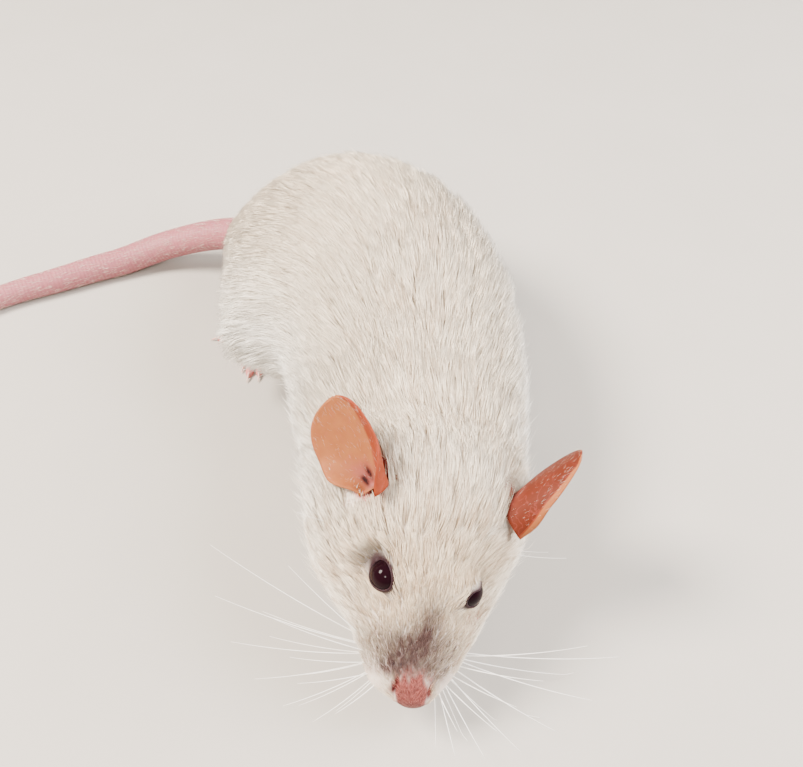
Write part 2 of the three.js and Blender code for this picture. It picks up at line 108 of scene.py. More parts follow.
# %% Head frame
YAW, PITCH, ROLL = np.radians([-7.7, 23.5, -17.5])
UP = np.array([0.0, 0.0, 1.0])
NOSE_TIP = np.array([0.0, 0.0, 7.5])
level = np.array([np.sin(YAW), -np.cos(YAW), 0.0])
FORWARD = level * np.cos(PITCH) - UP * np.sin(PITCH)
crown = level * np.sin(PITCH) + UP * np.cos(PITCH)
LEFT = np.cross(crown, FORWARD) * np.cos(ROLL) + crown * np.sin(ROLL)
CROWN = np.cross(FORWARD, LEFT)


def in_head(back, left, up):
    """Nose tip - back * forward + left * left + up * crown."""
    back, left, up = (np.asarray(x, float)[..., None] for x in (back, left, up))
    return NOSE_TIP - back * FORWARD + left * LEFT + up * CROWN


def head_direction(forward, left, up):
    """The unit vector with those shares of forward, left and up."""
    return unit(forward * FORWARD + left * LEFT + up * CROWN)


def from_head(p):
    """How far each point is back from the nose tip, to the left and up."""
    q = p - NOSE_TIP
    return -dot(q, FORWARD), dot(q, LEFT), dot(q, CROWN)


print("the face looks along", FORWARD.round(2))

# %% Places of the eyes, and the part's own frame
EYE_RADIUS = 1.85
EYE_BACK, EYE_MIDDLE, EYE_APART, EYE_UP = 12.1, -0.35, 4.45, 4.3


def eye_centre(side):
    """Where the eye on that side sits: -1 is the mouse's right and 1 its left."""
    return in_head(EYE_BACK, EYE_MIDDLE + side * EYE_APART, EYE_UP)


low, high = (np.array(corner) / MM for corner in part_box("eye_right"))
SHIFT = (low + high) / 2 - eye_centre(-1)
print("the frame lies at", SHIFT.round(2), "mm from the nose's own origin")


def to_row(p):
    """Millimetres from the nose's origin to metres in the part's frame."""
    return (p + SHIFT) * MM


# %% [markdown]
# ## The body as one sweep
# A mouse's head and trunk are one bag of skin, widest at the haunches, so they are made as one sweep:
# oval sections along a bent spine. A section's half width and half height glide along the spine as
# squares, because then both ends round off like a ball. Thighs, cheeks and eye sockets are soft
# swellings and hollows on top of that.

# %% The spine and its sections
HEAD = np.array([  # back, half width, top, bottom, shift to the left
    (0.2, 2.6, 1.3, -2.7, 0.6), (2.6, 5.0, 2.8, -4.2, 0.2), (5.5, 6.4, 4.3, -5.6, 0.0),
    (8.5, 8.0, 5.6, -6.9, -0.1), (12.0, 10.2, 7.1, -8.3, -0.4), (16.5, 12.4, 8.7, -10.2, -0.9),
    (22.0, 13.6, 10.0, -12.4, -1.1),
])
TRUNK = np.array([  # x, y, top, bottom, half width, share of the head's roll
    (1.2, 27.5, 25.8, 5.0, 13.9, 0.7), (0.8, 35.0, 26.8, 5.0, 15.0, 0.35),
    (0.4, 42.5, 28.0, 4.2, 15.8, 0.1), (-0.8, 50.0, 29.6, 3.2, 16.8, 0),
    (-3.2, 57.5, 30.6, 2.4, 17.8, 0), (-7.2, 64.5, 31.0, 1.8, 18.6, 0),
    (-12.6, 70.5, 28.6, 2.0, 17.6, 0), (-18.8, 75.6, 22.0, 2.8, 13.6, 0),
    (-25.0, 79.6, 14.4, 3.8, 7.6, 0),
])
back, half, top, bottom, left = HEAD.T
head_at = in_head(back, left, (top + bottom) / 2)
head_size = np.column_stack([half, (top - bottom) / 2])
x, y, top, bottom, half, twist = TRUNK.T
trunk_at = np.column_stack([x, y, (top + bottom) / 2])
trunk_size = np.column_stack([half, (top - bottom) / 2])
trunk_up = UP + (CROWN - UP) * twist[:, None]
beyond = trunk_at[-1] + (trunk_at[-1] - trunk_at[-2]) * 0.45

CENTRES = np.concatenate([[in_head(-0.9, 0.7, -1.0)], head_at, trunk_at, [beyond]])
SIZES = np.concatenate([[[0, 0]], head_size, trunk_size, [[0, 0]]])
UPS = np.concatenate([np.tile(CROWN, (len(HEAD) + 1, 1)), trunk_up, [UP]])
ALONG = np.concatenate([[0], np.cumsum(np.linalg.norm(np.diff(CENTRES, axis=0), axis=1))])
SPINE = ALONG[-1]
print(f"the spine is {SPINE:.1f} mm long from nose tip to tail root")


def section(s):
    """Centre, right, up, half width and half height of the oval section s mm along the spine."""
    step = 0.05
    centre = glide(ALONG, CENTRES, s)
    ahead = unit(glide(ALONG, CENTRES, np.minimum(s + step, SPINE))
                 - glide(ALONG, CENTRES, np.maximum(s - step, 0)))
    right = unit(np.cross(glide(ALONG, UPS, s), ahead))
    over = unit(np.cross(ahead, right))
    size = np.sqrt(np.maximum(glide(ALONG, SIZES ** 2, s), 0))
    return centre, right, over, size[..., 0], size[..., 1]


# %% [markdown]
# ## The eyes' own directions
# A mouse's eye stands out like a bead from the side of the head and looks outward, up and a little
# forward. Its lids open wider along the eye than across it and come to a corner towards the nose.

# %% How the eyes look
LID_OPEN = np.radians(54)
LID_STRETCH = np.radians(7)
LID_TILT = np.radians(34)
LID_CORNER = np.radians(3)
LID_BACK = np.radians(9)
LID_DROP = {-1: np.radians(2), 1: np.radians(32)}
LID_DROP_AT = {-1: np.radians(70), 1: np.radians(152)}
LID_DROP_SPREAD = 1.15
EYE_SET = {-1: (0.3, -0.28, 0.0), 1: (0.0, 0.0, 0.0)}  # mm back, left and up that each ball is moved


def ball_centre(side):
    """Centre of the eyeball as it sits in its lids."""
    back, left, up = EYE_SET[side]
    return eye_centre(side) - back * FORWARD + left * LEFT + up * CROWN


def eye_frame(side):
    """The way the eye looks, its direction towards the nose and its direction over the top."""
    axis = head_direction(0.28, side * 0.72, 0.64)
    fore = unit(FORWARD - axis * dot(FORWARD, axis))
    over = unit(CROWN - axis * dot(CROWN, axis))
    over = unit(over - fore * dot(over, fore))
    return axis, fore, over


def on_eye(side, theta, phi, radius):
    """Centre + radius * (cos theta * axis + sin theta * (cos phi * fore + sin phi * over))."""
    axis, fore, over = eye_frame(side)
    ring = np.cos(phi)[..., None] * fore + np.sin(phi)[..., None] * over
    return ball_centre(side) + radius[..., None] * (np.cos(theta)[..., None] * axis
                                                   + np.sin(theta)[..., None] * ring)


def round_from(phi, middle):
    """Angle from a middle direction, in radians from -pi to pi."""
    return np.angle(np.exp(1j * (phi - middle)))


def lid_margin(side, phi):
    """Angle of the lid's edge from the eye's axis: open + stretch cos 2 turn - back cos phi + corner
    - drop above, where turn is the angle from the tilted line through the eye's corners."""
    turn = round_from(phi, LID_TILT)
    return (LID_OPEN + LID_STRETCH * np.cos(2 * turn) - LID_BACK * np.cos(phi)
            + LID_CORNER * hump(turn, 0, 0.4)
            - LID_DROP[side] * hump(round_from(phi, LID_DROP_AT[side]), 0, LID_DROP_SPREAD))


for side in (-1, 1):
    print("degrees from the eye's axis to the lid's edge, towards the nose:",
          np.degrees(lid_margin(side, np.array([0.0]))).round(1))


# %% [markdown]
# ## How deep the coat is
# Hair on the muzzle is a fraction of a millimetre deep and on the rump about two. The skin lies that far
# inside the outer form. Round the eyes the hair is very short, so there the skin comes close to the
# outer form again.

# %% Swellings and coat depth
SWELLINGS = [  # along the spine, degrees from the right over the back, spread in mm, in degrees, height
    (71, -18, 11, 38, 5.8), (59.5, -36, 6, 28, 2.2), (68, 208, 11, 34, 0.8), (40, -12, 16, 40, 0.9),
    (13.2, 44, 3.6, 19, -1.5), (13.2, 136, 3.6, 19, -1.5), (13, 6, 5, 40, 0.5),
]
COAT_DEPTH = np.array([  # mm along the spine, depth of the coat there
    (0, 0.12), (3, 0.22), (8, 0.4), (14, 0.65), (20, 1.0), (28, 1.5), (42, 1.9), (70, 2.0),
    (86, 1.6), (100, 0.8),
])


def turn_from(a, degrees):
    """Angle from a direction, in degrees from -180 to 180."""
    return (np.degrees(a) - degrees + 540) % 360 - 180


def swelling(s, a):
    """Sum of humps, each height * exp(-(mm away / spread)^2 - (degrees away / turn)^2)."""
    return sum(height * hump(s, at, spread) * hump(turn_from(a, round_at), 0, turn)
               for at, round_at, spread, turn, height in SWELLINGS)


def coat_depth(s, a):
    """Depth of the coat in mm: it glides along the spine and is a quarter of that near the eyes."""
    by_eye = sum(hump(s, 13.2, 3.4) * hump(turn_from(a, at), 0, 20) for at in (48, 132))
    return glide(COAT_DEPTH[:, 0], COAT_DEPTH[:, 1], s) * (1 - 0.75 * by_eye)


haunch, side_on = np.array([70.0]), np.array([0.0])
print("depth of the coat on the right haunch in mm:", coat_depth(haunch, side_on))


# %% Skin round the eyes
def past_lid(p, side):
    """Angle in radians from the edge of the lids outward, and distance in mm from the eye's centre."""
    axis, fore, over = eye_frame(side)
    q = p - ball_centre(side)
    theta = np.arccos(np.clip(dot(unit(q), axis), -1, 1))
    return theta - lid_margin(side, np.arctan2(dot(q, over), dot(q, fore))), np.linalg.norm(q, axis=-1)


LID_SKIN, LID_SLOPE, LID_REACH = 0.1, 0.75, 4.2


def over_eyes(p):
    """Skin drawn over the eyes: near each one its height along the eye's axis becomes that of a dome
    that covers the ball and slopes away from it."""
    for side in (-1, 1):
        axis, fore, over = eye_frame(side)
        q = p - ball_centre(side)
        height = dot(q, axis)
        off = np.linalg.norm(q - axis * height[..., None], axis=-1)
        edge = EYE_RADIUS * 0.92
        ball_top = np.sqrt((EYE_RADIUS + LID_SKIN) ** 2 - np.minimum(off, edge) ** 2)
        margin = lid_margin(side, np.arctan2(dot(q, over), dot(q, fore)))
        past = np.arcsin(np.minimum(off / EYE_RADIUS, 1)) - margin
        inside = smooth(off, EYE_RADIUS * 1.05, EYE_RADIUS * 0.9)
        opened = smooth(past, np.radians(11), np.radians(-4)) * inside
        dome = ball_top - 0.7 * opened - LID_SLOPE * np.maximum(off - edge, 0)
        share = smooth(off, LID_REACH, EYE_RADIUS) * smooth(height, -3.5, -1.0)
        p = p + axis * (share * (dome - height))[..., None]
    return p


print("skin in the middle of the right eye is moved out to", over_eyes(eye_centre(-1)[None]).round(1))


# %% A point of the skin
def body_point(s, a, height):
    """Point on the section at angle a, height mm above the skin; the skin is coat_depth inside the form."""
    centre, right, over, half, high = section(s)
    inset = np.minimum(coat_depth(s, a), 0.35 * np.minimum(half, high))
    out = swelling(s, a) - inset
    skin = over_eyes(centre + right * ((half + out) * np.cos(a))[..., None]
                     + over * ((high + out) * np.sin(a))[..., None])
    return skin + (right * (height * np.cos(a))[..., None] + over * (height * np.sin(a))[..., None])


def body_normal(s, a):
    """Cross product of the surface's two directions, round the body and along it."""
    d = 0.02
    round_it = body_point(s, a + d, 0) - body_point(s, a - d, 0)
    along_it = body_point(np.minimum(s + d, SPINE), a, 0) - body_point(np.maximum(s - d, 0), a, 0)
    return unit(np.cross(round_it, along_it))


print("skin of the right haunch:", body_point(haunch, side_on, 0).round(1), "facing",
      body_normal(haunch, side_on).round(2))

# %% [markdown]
# ## From grids to meshes
# A closed ring of points repeated along a path makes a tube. Two fans of triangles close its ends, so
# every piece is a closed solid with its faces outward. The sign of its volume tells whether its faces
# have to be turned.

# %% Closed tubes and hoops
def volume(verts, faces):
    """Sum over the triangles of p . (q x r) / 6."""
    return sum(dot(verts[f[:, 0]], np.cross(verts[f[:, k]], verts[f[:, k + 1]])).sum() / 6
               for f in faces for k in range(1, f.shape[1] - 1))


def tube(rings, start=None, end=None):
    """Faces round rings[i, j], closed round j, with fans to the points start and end."""
    rows, cols = rings.shape[:2]
    start = rings[0].mean(0) if start is None else start
    end = rings[-1].mean(0) if end is None else end
    verts = np.concatenate([rings.reshape(-1, 3), [start], [end]])
    i, j = np.meshgrid(np.arange(rows - 1), np.arange(cols), indexing="ij")
    k = (j + 1) % cols
    quads = np.stack([i * cols + j, i * cols + k, (i + 1) * cols + k, (i + 1) * cols + j], -1)
    j = np.arange(cols)
    k = (j + 1) % cols
    first = np.stack([np.full(cols, rows * cols), k, j], -1)
    last = np.stack([np.full(cols, rows * cols + 1), (rows - 1) * cols + j, (rows - 1) * cols + k], -1)
    faces = [quads.reshape(-1, 4), np.concatenate([first, last])]
    return outward(verts, faces)


def hoop(rings):
    """Faces round rings[i, j], closed both ways, as on a tyre."""
    rows, cols = rings.shape[:2]
    i, j = np.meshgrid(np.arange(rows), np.arange(cols), indexing="ij")
    n, k = (i + 1) % rows, (j + 1) % cols
    quads = np.stack([i * cols + j, i * cols + k, n * cols + k, n * cols + j], -1)
    return outward(rings.reshape(-1, 3), [quads.reshape(-1, 4)])


def outward(verts, faces):
    """The same faces, turned round where the volume they enclose is negative."""
    if volume(verts, faces) < 0:
        faces = [f[:, ::-1] for f in faces]
    return verts, faces


corners = np.arange(4) / 4 * TURN
square = np.stack([np.cos(corners), np.sin(corners), np.zeros(4)], axis=-1)
print("a bar one high on a square of area two holds", volume(*tube(np.stack([square, square + UP]))).round(3))


# %% Objects, and merging them
def make_object(name, verts, faces, material_index=0):
    """An object at the origin with its place in its mesh, smooth shaded, in the part's frame."""
    mesh = bpy.data.meshes.new(name)
    mesh.from_pydata(to_row(verts).tolist(), [], [row for f in faces for row in f.tolist()])
    mesh.polygons.foreach_set("use_smooth", np.ones(len(mesh.polygons), bool))
    mesh.polygons.foreach_set("material_index", np.full(len(mesh.polygons), material_index, np.int32))
    mesh.update()
    obj = bpy.data.objects.new(name, mesh)
    bpy.context.scene.collection.objects.link(obj)
    return obj


def merge(base, other, how="UNION"):
    """base becomes base and other together, or base without other, as one closed mesh."""
    cut = base.modifiers.new("merge", "BOOLEAN")
    cut.operation = how
    cut.object = other
    cut.solver = "MANIFOLD"
    solid = bpy.data.meshes.new_from_object(base.evaluated_get(bpy.context.evaluated_depsgraph_get()))
    base.modifiers.remove(cut)
    old = base.data
    base.data = solid
    bpy.data.meshes.remove(old)
    bpy.data.objects.remove(other)
    return base


# %% [markdown]
# ## The bare form of head and trunk
# The rows stand close together on the muzzle, where nostrils, the split lip and the mouth are cut, and
# further apart on the trunk, which the coat covers.

# %% Where the ears stand
EARS = {
    "ear_right": dict(side=-1, root=(22.0, -7.9, 6.0), axis=(-0.66, -0.68, 0.32),
                      opening=(0.66, -0.52, 0.54), height=10.6, rear=1.0, fringe=(1.6, 0.75)),
    "ear_left": dict(side=1, root=(22.0, 7.2, 5.4), axis=(-0.50, 0.68, 0.50),
                     opening=(0.62, 0.62, -0.2), height=10.8, rear=1.25, fringe=(2.4, 0.3)),
}


def ear_frame(ear):
    """Directions up the ear, out of its opening and across it towards its front edge."""
    rise = head_direction(*ear["axis"])
    facing = head_direction(*ear["opening"])
    facing = unit(facing - rise * dot(facing, rise))
    return rise, facing, np.cross(facing, rise) * ear["side"]


def by_ear(p, ear):
    """How far points lie off the ear's own axis, and how far up it from its root, in mm."""
    rise, _, _ = ear_frame(ear)
    q = p - in_head(*ear["root"])
    up = dot(q, rise)
    return np.linalg.norm(q - rise * up[..., None], axis=-1), up


for name, ear in EARS.items():
    print(name, "rises along", ear_frame(ear)[0].round(2), "and opens towards", ear_frame(ear)[1].round(2))

# %% Relief of the face
MOUTH_LEVEL = -4.3
EAR_PIT_DEEP = 1.8


def ear_pits(p):
    """Depth in mm of the hollow that leads into each ear, deepest on the ear's own axis."""
    depth = np.zeros(p.shape[:-1])
    for ear in EARS.values():
        off, up = by_ear(p, ear)
        depth = np.maximum(depth, EAR_PIT_DEEP * smooth(off, 2.4, 0.8) * smooth(up, -4, -1))
    return depth


def face_relief(p):
    """Depth in mm, inward, of nostrils, split lip, mouth line, the rim of the nose pad and ear pits."""
    back, left, up = from_head(p)
    side = np.abs(left - 0.1)
    slit = hump(side, 2.1 + 0.12 * (back - 1.3), 0.27) * hump(back, 1.2, 0.95) * smooth(up, -0.2, 0.6)
    comma = hump(side, 2.3, 0.35) * hump(back, 0.5, 0.4) * smooth(up, -0.2, 0.6)
    split = hump(left, 0.1, 0.22) * smooth(-up, 1.1, 1.9) * smooth(back, 3.4, 1.6)
    pad_rim = hump(np.hypot(side / 2.15, (up + 0.5) / 2.1), 1, 0.1) * smooth(back, 3.2, 1.4)
    mouth = (hump(up + 0.16 * (back - 3), MOUTH_LEVEL + 0.3, 0.28)
             * smooth(back, 1.2, 2.4) * smooth(back, 11, 8) * smooth(side, -1, 0.6))
    cushion = hump(back, 3.0, 2.2) * hump(side, 3.7, 1.6) * hump(up, -1.2, 2.2)
    return (0.6 * slit + 0.35 * comma + 0.32 * split + 0.08 * pad_rim + 0.4 * mouth - 0.4 * cushion
            + ear_pits(p))


print("relief beside the left nostril in mm:", face_relief(in_head(1.2, 2.2, 0.8)[None]).round(2))

# %% Head and trunk
rows = np.concatenate([np.arange(0.06, 5, 0.14), np.arange(5, 27, 0.36), np.arange(27, SPINE - 0.1, 0.9)])
columns = np.arange(0, 160) / 160 * TURN
s, a = np.meshgrid(rows, columns, indexing="ij")
rings = body_point(s, a, 0)
rings = rings - body_normal(s, a) * face_relief(rings)[..., None]
body = make_object("skin", *tube(rings, CENTRES[0], CENTRES[-1]))
print("head and trunk:", len(body.data.polygons), "faces")

# %% [markdown]
# ## Eyes and lids
# The lids are a thin soft ring that hugs the ball, with the skin rising to it. The lid is a hoop: a small
# closed profile carried round the eye's own axis. The ball itself is a piece of its own.

# %% Lids
LID_PROFILE = np.array([  # degrees past the margin, mm past the ball
    (60, -0.5), (4, -0.1), (0, -0.02), (-1.2, 0.05), (-0.4, 0.12), (2, 0.17), (6, 0.18), (12, 0.14),
    (20, 0.02), (30, -0.15), (45, -0.3), (60, -0.4),
])
phi, part = np.meshgrid(np.arange(72) / 72 * TURN, np.arange(len(LID_PROFILE)), indexing="ij")
for side in (-1, 1):
    theta = lid_margin(side, phi) + np.radians(LID_PROFILE[part, 0])
    lid = make_object("lid", *hoop(on_eye(side, theta, phi, EYE_RADIUS + LID_PROFILE[part, 1])))
    body = merge(body, lid)
print("with lids:", len(body.data.polygons), "faces")


# %% Eyeballs and their sockets
EYE_BULGE, SOCKET_GAP = 0.06, 0.02


def ball(side, radius):
    """A sphere whose pole looks the way the eye looks, bulging a little at the front."""
    theta, phi = np.meshgrid(np.linspace(0.04, np.pi - 0.04, 48), np.arange(64) / 64 * TURN, indexing="ij")
    size = radius + EYE_BULGE * hump(theta, 0, 0.7)
    ends = [on_eye(side, np.array(t), np.array(0.0), np.array(r)) for t, r in
            ((0.0, radius + EYE_BULGE), (np.pi, radius))]
    return tube(on_eye(side, theta, phi, size), *ends)


eyes = {}
for side, name in ((-1, "eye_right"), (1, "eye_left")):
    body = merge(body, make_object("socket", *ball(side, EYE_RADIUS + SOCKET_GAP)), "DIFFERENCE")
    eyes[name] = make_object("ball_" + name, *ball(side, EYE_RADIUS))
print("with sockets:", len(body.data.polygons), "faces")

# %% [markdown]
# ## Ears
# A mouse's ear is a thin sheet rolled into a tube at its root and opening into a shallow cup. Each level
# of the sheet starts at its middle line and is carried sideways in small steps that bend as they go, so
# one number per level sets how far it is rolled. The front edge is narrower, and a crease runs up it.

# %% Ear sheet
EAR_ROLL, EAR_CUP, EAR_CREASE = np.radians([130, 44, 24])
EAR_TUBE, EAR_BROAD, EAR_TAPER, EAR_LEAN = 2.3, 5.3, 0.25, 2.2
EAR_STEPS, EAR_LEVELS, EAR_WALL = 24, 44, 0.27


def ear_edge(ear, v, way):
    """Points from the middle line to one edge at level v: the sum of steps of width / n, bent as they go."""
    _, facing, across = ear_frame(ear)
    v = v[:, None]
    opened = smooth(v, 0, 0.5)
    curl = (EAR_ROLL + (EAR_CUP - EAR_ROLL) * opened) * (1 - 0.45 * v)
    wide = (EAR_ROLL * EAR_TUBE + (EAR_BROAD - EAR_ROLL * EAR_TUBE) * opened) \
        * np.sqrt(1 - np.maximum((v - 0.5) / 0.5, 0) ** 2.4)
    q = way * (np.arange(EAR_STEPS) + 0.5) / EAR_STEPS
    bend = curl * q + EAR_CREASE * opened * (1 - v * v) * smooth(q, 0.25, 0.55)
    if way > 0:
        share = 1 - EAR_TAPER * smooth(v, 0.2, 0.9)
    else:
        share = ear["rear"] * (1 - 0.4 * smooth(v, 0.3, 0.0))
    step = wide / EAR_STEPS * share
    return np.cumsum(way * step[..., None] * (np.cos(bend)[..., None] * across
                                              + np.sin(bend)[..., None] * facing), axis=1)


def ear_sheet(ear, v):
    """Middle surface of the ear at levels v, from its back edge over the middle line to its front edge."""
    rise, facing, _ = ear_frame(ear)
    base = in_head(*ear["root"]) + v[:, None] * ear["height"] * rise \
        - facing * (EAR_LEAN * v * (1 - 0.4 * v))[:, None]
    rear, front = ear_edge(ear, v, -1), ear_edge(ear, v, 1)
    line = np.concatenate([rear[:, ::-1], np.zeros((len(v), 1, 3)), front], axis=1)
    return base[:, None] + line


print("middle line of the right ear, root to tip:",
      ear_sheet(EARS["ear_right"], np.array([0.0, 0.5, 1.0]))[:, EAR_STEPS].round(1).tolist())


# %% Ears with their walls
def ear_normal(sheet):
    """Cross product of the sheet's direction up with its direction across."""
    return unit(np.cross(np.gradient(sheet, axis=1), np.gradient(sheet, axis=0)))


def ear_solid(ear):
    """The sheet with EAR_WALL of flesh on each side, thinner towards its rim, as rings up to its tip."""
    v = np.sin(np.linspace(0, 1, EAR_LEVELS)[:-1] * np.pi / 2)
    sheet = ear_sheet(ear, v)
    q = np.linspace(-1, 1, sheet.shape[1])
    wall = EAR_WALL * np.sqrt(1 - q ** 8)[None] * (1 - 0.35 * v[:, None])
    out = ear_normal(sheet) * wall[..., None]
    rings = np.concatenate([sheet + out, (sheet - out)[:, -2:0:-1]], axis=1)
    return rings, ear_sheet(ear, np.array([1.0]))[0, EAR_STEPS]


SKIN, EAR, TAIL, FOOT = range(4)
for name, ear in EARS.items():
    rings, tip = ear_solid(ear)
    piece = make_object(name + "_sheet", *tube(rings, end=tip), EAR)
    body = merge(body, piece)
print("with ears:", len(body.data.polygons), "faces")

# %% [markdown]
# ## Tail
# The tail leaves the rump, comes down to the floor within 30 mm and lies along it in one slow curve.
# Its path is a smooth curve through a few places, measured by length, and its radius falls from 2.85 mm
# at the root to 0.6 mm at the tip.

# %% Path of the tail
TAIL_ROUTE = np.array([
    (-22, 78), (-30.4, 82.0), (-42, 83.5), (-51, 80.6), (-59, 76.9), (-67.7, 72.7), (-77, 65.5),
    (-84.5, 56.5), (-89.5, 46.5), (-92, 36.5),
], float)


def rounded_path(points, each=80):
    """Cubic pieces through the points, timed by the square root of the distance between them."""
    ends = np.concatenate([[2 * points[0] - points[1]], points, [2 * points[-1] - points[-2]]])
    gaps = np.sqrt(np.linalg.norm(np.diff(ends, axis=0), axis=1))
    path = []
    for p0, p1, p2, p3, d0, d1, d2 in zip(ends, ends[1:], ends[2:], ends[3:], gaps, gaps[1:], gaps[2:]):
        t1 = ((p1 - p0) / d0 - (p2 - p0) / (d0 + d1) + (p2 - p1) / d1) * d1
        t2 = ((p2 - p1) / d1 - (p3 - p1) / (d1 + d2) + (p3 - p2) / d2) * d1
        t = np.linspace(0, 1, each, endpoint=False)[:, None]
        path.append(p1 + t1 * t + (-3 * p1 + 3 * p2 - 2 * t1 - t2) * t ** 2
                    + (2 * p1 - 2 * p2 + t1 + t2) * t ** 3)
    return np.concatenate(path + [points[-1:]])


tail_path = rounded_path(TAIL_ROUTE)
tail_run = np.concatenate([[0], np.cumsum(np.linalg.norm(np.diff(tail_path, axis=0), axis=1))])
TAIL_LENGTH = tail_run[-1]
TAIL_ROOT, TAIL_TIP, TAIL_RISE, TAIL_LANDED = 2.85, 0.6, 6.3, 30
FLOOR_GAP, TAIL_SIDES, TAIL_STEP, BLUNT_OVER = 0.012, 28, 0.55, 0.9
print(f"the tail is {TAIL_LENGTH:.1f} mm long")


# %% Tail surface
def tail_frame(s):
    """Centre, sideways direction and radius of the tail s mm from its root."""
    flat = np.column_stack([np.interp(s, tail_run, tail_path[:, k]) for k in (0, 1)])
    onward = np.column_stack([np.interp(s + 0.4, tail_run, tail_path[:, k]) for k in (0, 1)])
    before = np.column_stack([np.interp(s - 0.4, tail_run, tail_path[:, k]) for k in (0, 1)])
    way = unit(onward - before)
    share = np.clip(s / TAIL_LENGTH, 0, 1)
    radius = TAIL_TIP + (TAIL_ROOT - TAIL_TIP) * (1 - share ** 1.15) ** 0.9
    height = radius * 0.97 + TAIL_RISE * (1 - smooth(s, 2, TAIL_LANDED))
    side = np.column_stack([way[:, 1], -way[:, 0], np.zeros(len(s))])
    return np.column_stack([flat, height]), side, radius


def tail_point(s, a, lift=0.0):
    """Centre + (radius + lift) * (cos a * side + sin a * up), kept on or above the floor."""
    centre, side, radius = tail_frame(s)
    r = (radius + lift)[..., None]
    p = centre + r * (np.cos(a)[..., None] * side + np.sin(a)[..., None] * UP)
    return np.concatenate([p[..., :2], np.maximum(p[..., 2:], FLOOR_GAP)], axis=-1)


TAIL_ROWS = np.concatenate([np.arange(0, TAIL_LENGTH - 1, TAIL_STEP),
                            TAIL_LENGTH - np.array([0.9, 0.6, 0.35, 0.18, 0.06])])
sides = np.arange(TAIL_SIDES) / TAIL_SIDES * TURN
blunt = -0.62 * (1 - np.sqrt(np.clip((TAIL_LENGTH - TAIL_ROWS) / BLUNT_OVER, 0, 1)))
rings = np.stack([tail_point(TAIL_ROWS, np.full(len(TAIL_ROWS), t), blunt) for t in sides], axis=1)
body = merge(body, make_object("tail_tube", *tube(rings), TAIL))
print("with tail:", len(body.data.polygons), "faces")

# %% [markdown]
# ## Legs and feet
# Only the lower legs show below the coat. Each is a tapered oval that runs from inside the body down to
# the wrist or heel. The feet are half-round bars that lie on the floor on a flat sole, with slim toes
# that swell at the knuckle and at the pad under the claw.

# %% Lower legs
LOWER_LEGS = {
    "foreleg_right": ((-8.8, 36.5, 9.5), (-8.2, 30.4, 2.6), 2.5),
    "foreleg_left": ((9.4, 37.5, 9.5), (9.2, 31.4, 2.6), 2.5),
    "shank_right": ((-22.5, 62.5, 7.5), (-20.4, 70.6, 2.6), 3.0),
    "shank_left": ((9.0, 60.5, 7.5), (6.4, 69.6, 2.6), 3.0),
}
LEG_COAT = 0.35


def leg_point(name, theta, phi, height=0.0):
    """Centre + long cos theta * rise + thick sin theta * (cos phi * aside + sin phi * out)."""
    top, bottom, thick = LOWER_LEGS[name]
    top, bottom = np.array(top), np.array(bottom)
    rise = unit(top - bottom)
    aside = unit(-np.cross(np.cross([1.0, 0, 0], rise), rise))
    out = np.cross(aside, rise)
    long = np.linalg.norm(top - bottom) / 2 + thick * 0.6 - LEG_COAT + height
    thick = thick - LEG_COAT + height
    ring = np.cos(phi)[..., None] * aside + np.sin(phi)[..., None] * out
    return (top + bottom) / 2 + (np.cos(theta) * long)[..., None] * rise \
        + (np.sin(theta) * thick)[..., None] * ring


theta, phi = np.meshgrid(np.linspace(0.06, np.pi - 0.06, 28), np.arange(32) / 32 * TURN, indexing="ij")
for name in LOWER_LEGS:
    body = merge(body, make_object(name + "_oval", *tube(leg_point(name, theta, phi))))
print("with lower legs:", len(body.data.polygons), "faces")

# %% Measures of the feet
HIND = dict(sole=11.5, heel_half=1.6, toe_half=2.6, heel_high=3.2, toe_high=1.9)
FORE = dict(sole=3.6, heel_half=1.3, toe_half=2.0, heel_high=2.3, toe_high=1.6)
FORE_TOES = [(-30, 2.3, 3), (-10, 2.9, 3.4), (10, 2.9, 3.4), (32, 2.3, 3)]
FEET = {  # kind, side, heel, heading in degrees outward, toes as (fan, length, distance from the heel)
    "hind_foot_right": (HIND, -1, (-19.6, 71.6), 24, [
        (-32, 4.2, 8.6), (-23, 5.6, 10.4), (-18, 5.8, 10.8), (-14, 4.6, 10.4), (62, 5.4, 8.6)]),
    "hind_foot_left": (HIND, 1, (5.6, 70.6), 18, [
        (-30, 4.2, 8.6), (-16, 5.6, 10.4), (-4, 6, 11), (9, 5.8, 10.6), (30, 5, 8.8)]),
    "forepaw_right": (FORE, -1, (-8.2, 30.6), 8, FORE_TOES),
    "forepaw_left": (FORE, 1, (9.2, 31.6), 8, FORE_TOES),
}
TOE_HALF = 0.72
print("toes:", sum(len(foot[-1]) for foot in FEET.values()))


# %% Bars and toes
def bar(start, heading, profile, cols=24, rows=30):
    """Half-round bar on the floor: rings whose height is high * (0.38 + 0.62 sin a), never below 0."""
    profile = np.array(profile, float)
    along = np.linspace(profile[0, 0], profile[-1, 0], rows)
    half, high = glide(profile[:, 0], profile[:, 1:], along).T
    a = np.arange(cols) / cols * TURN
    way = np.array([np.sin(heading), -np.cos(heading), 0])
    across = np.array([way[1], -way[0], 0])
    flat = np.asarray(start) + along[:, None, None] * way \
        + half[:, None, None] * np.cos(a)[None, :, None] * across
    z = np.maximum(high[:, None] * (0.38 + 0.62 * np.sin(a)), 0)
    return np.concatenate([flat[..., :2], z[..., None]], axis=-1)


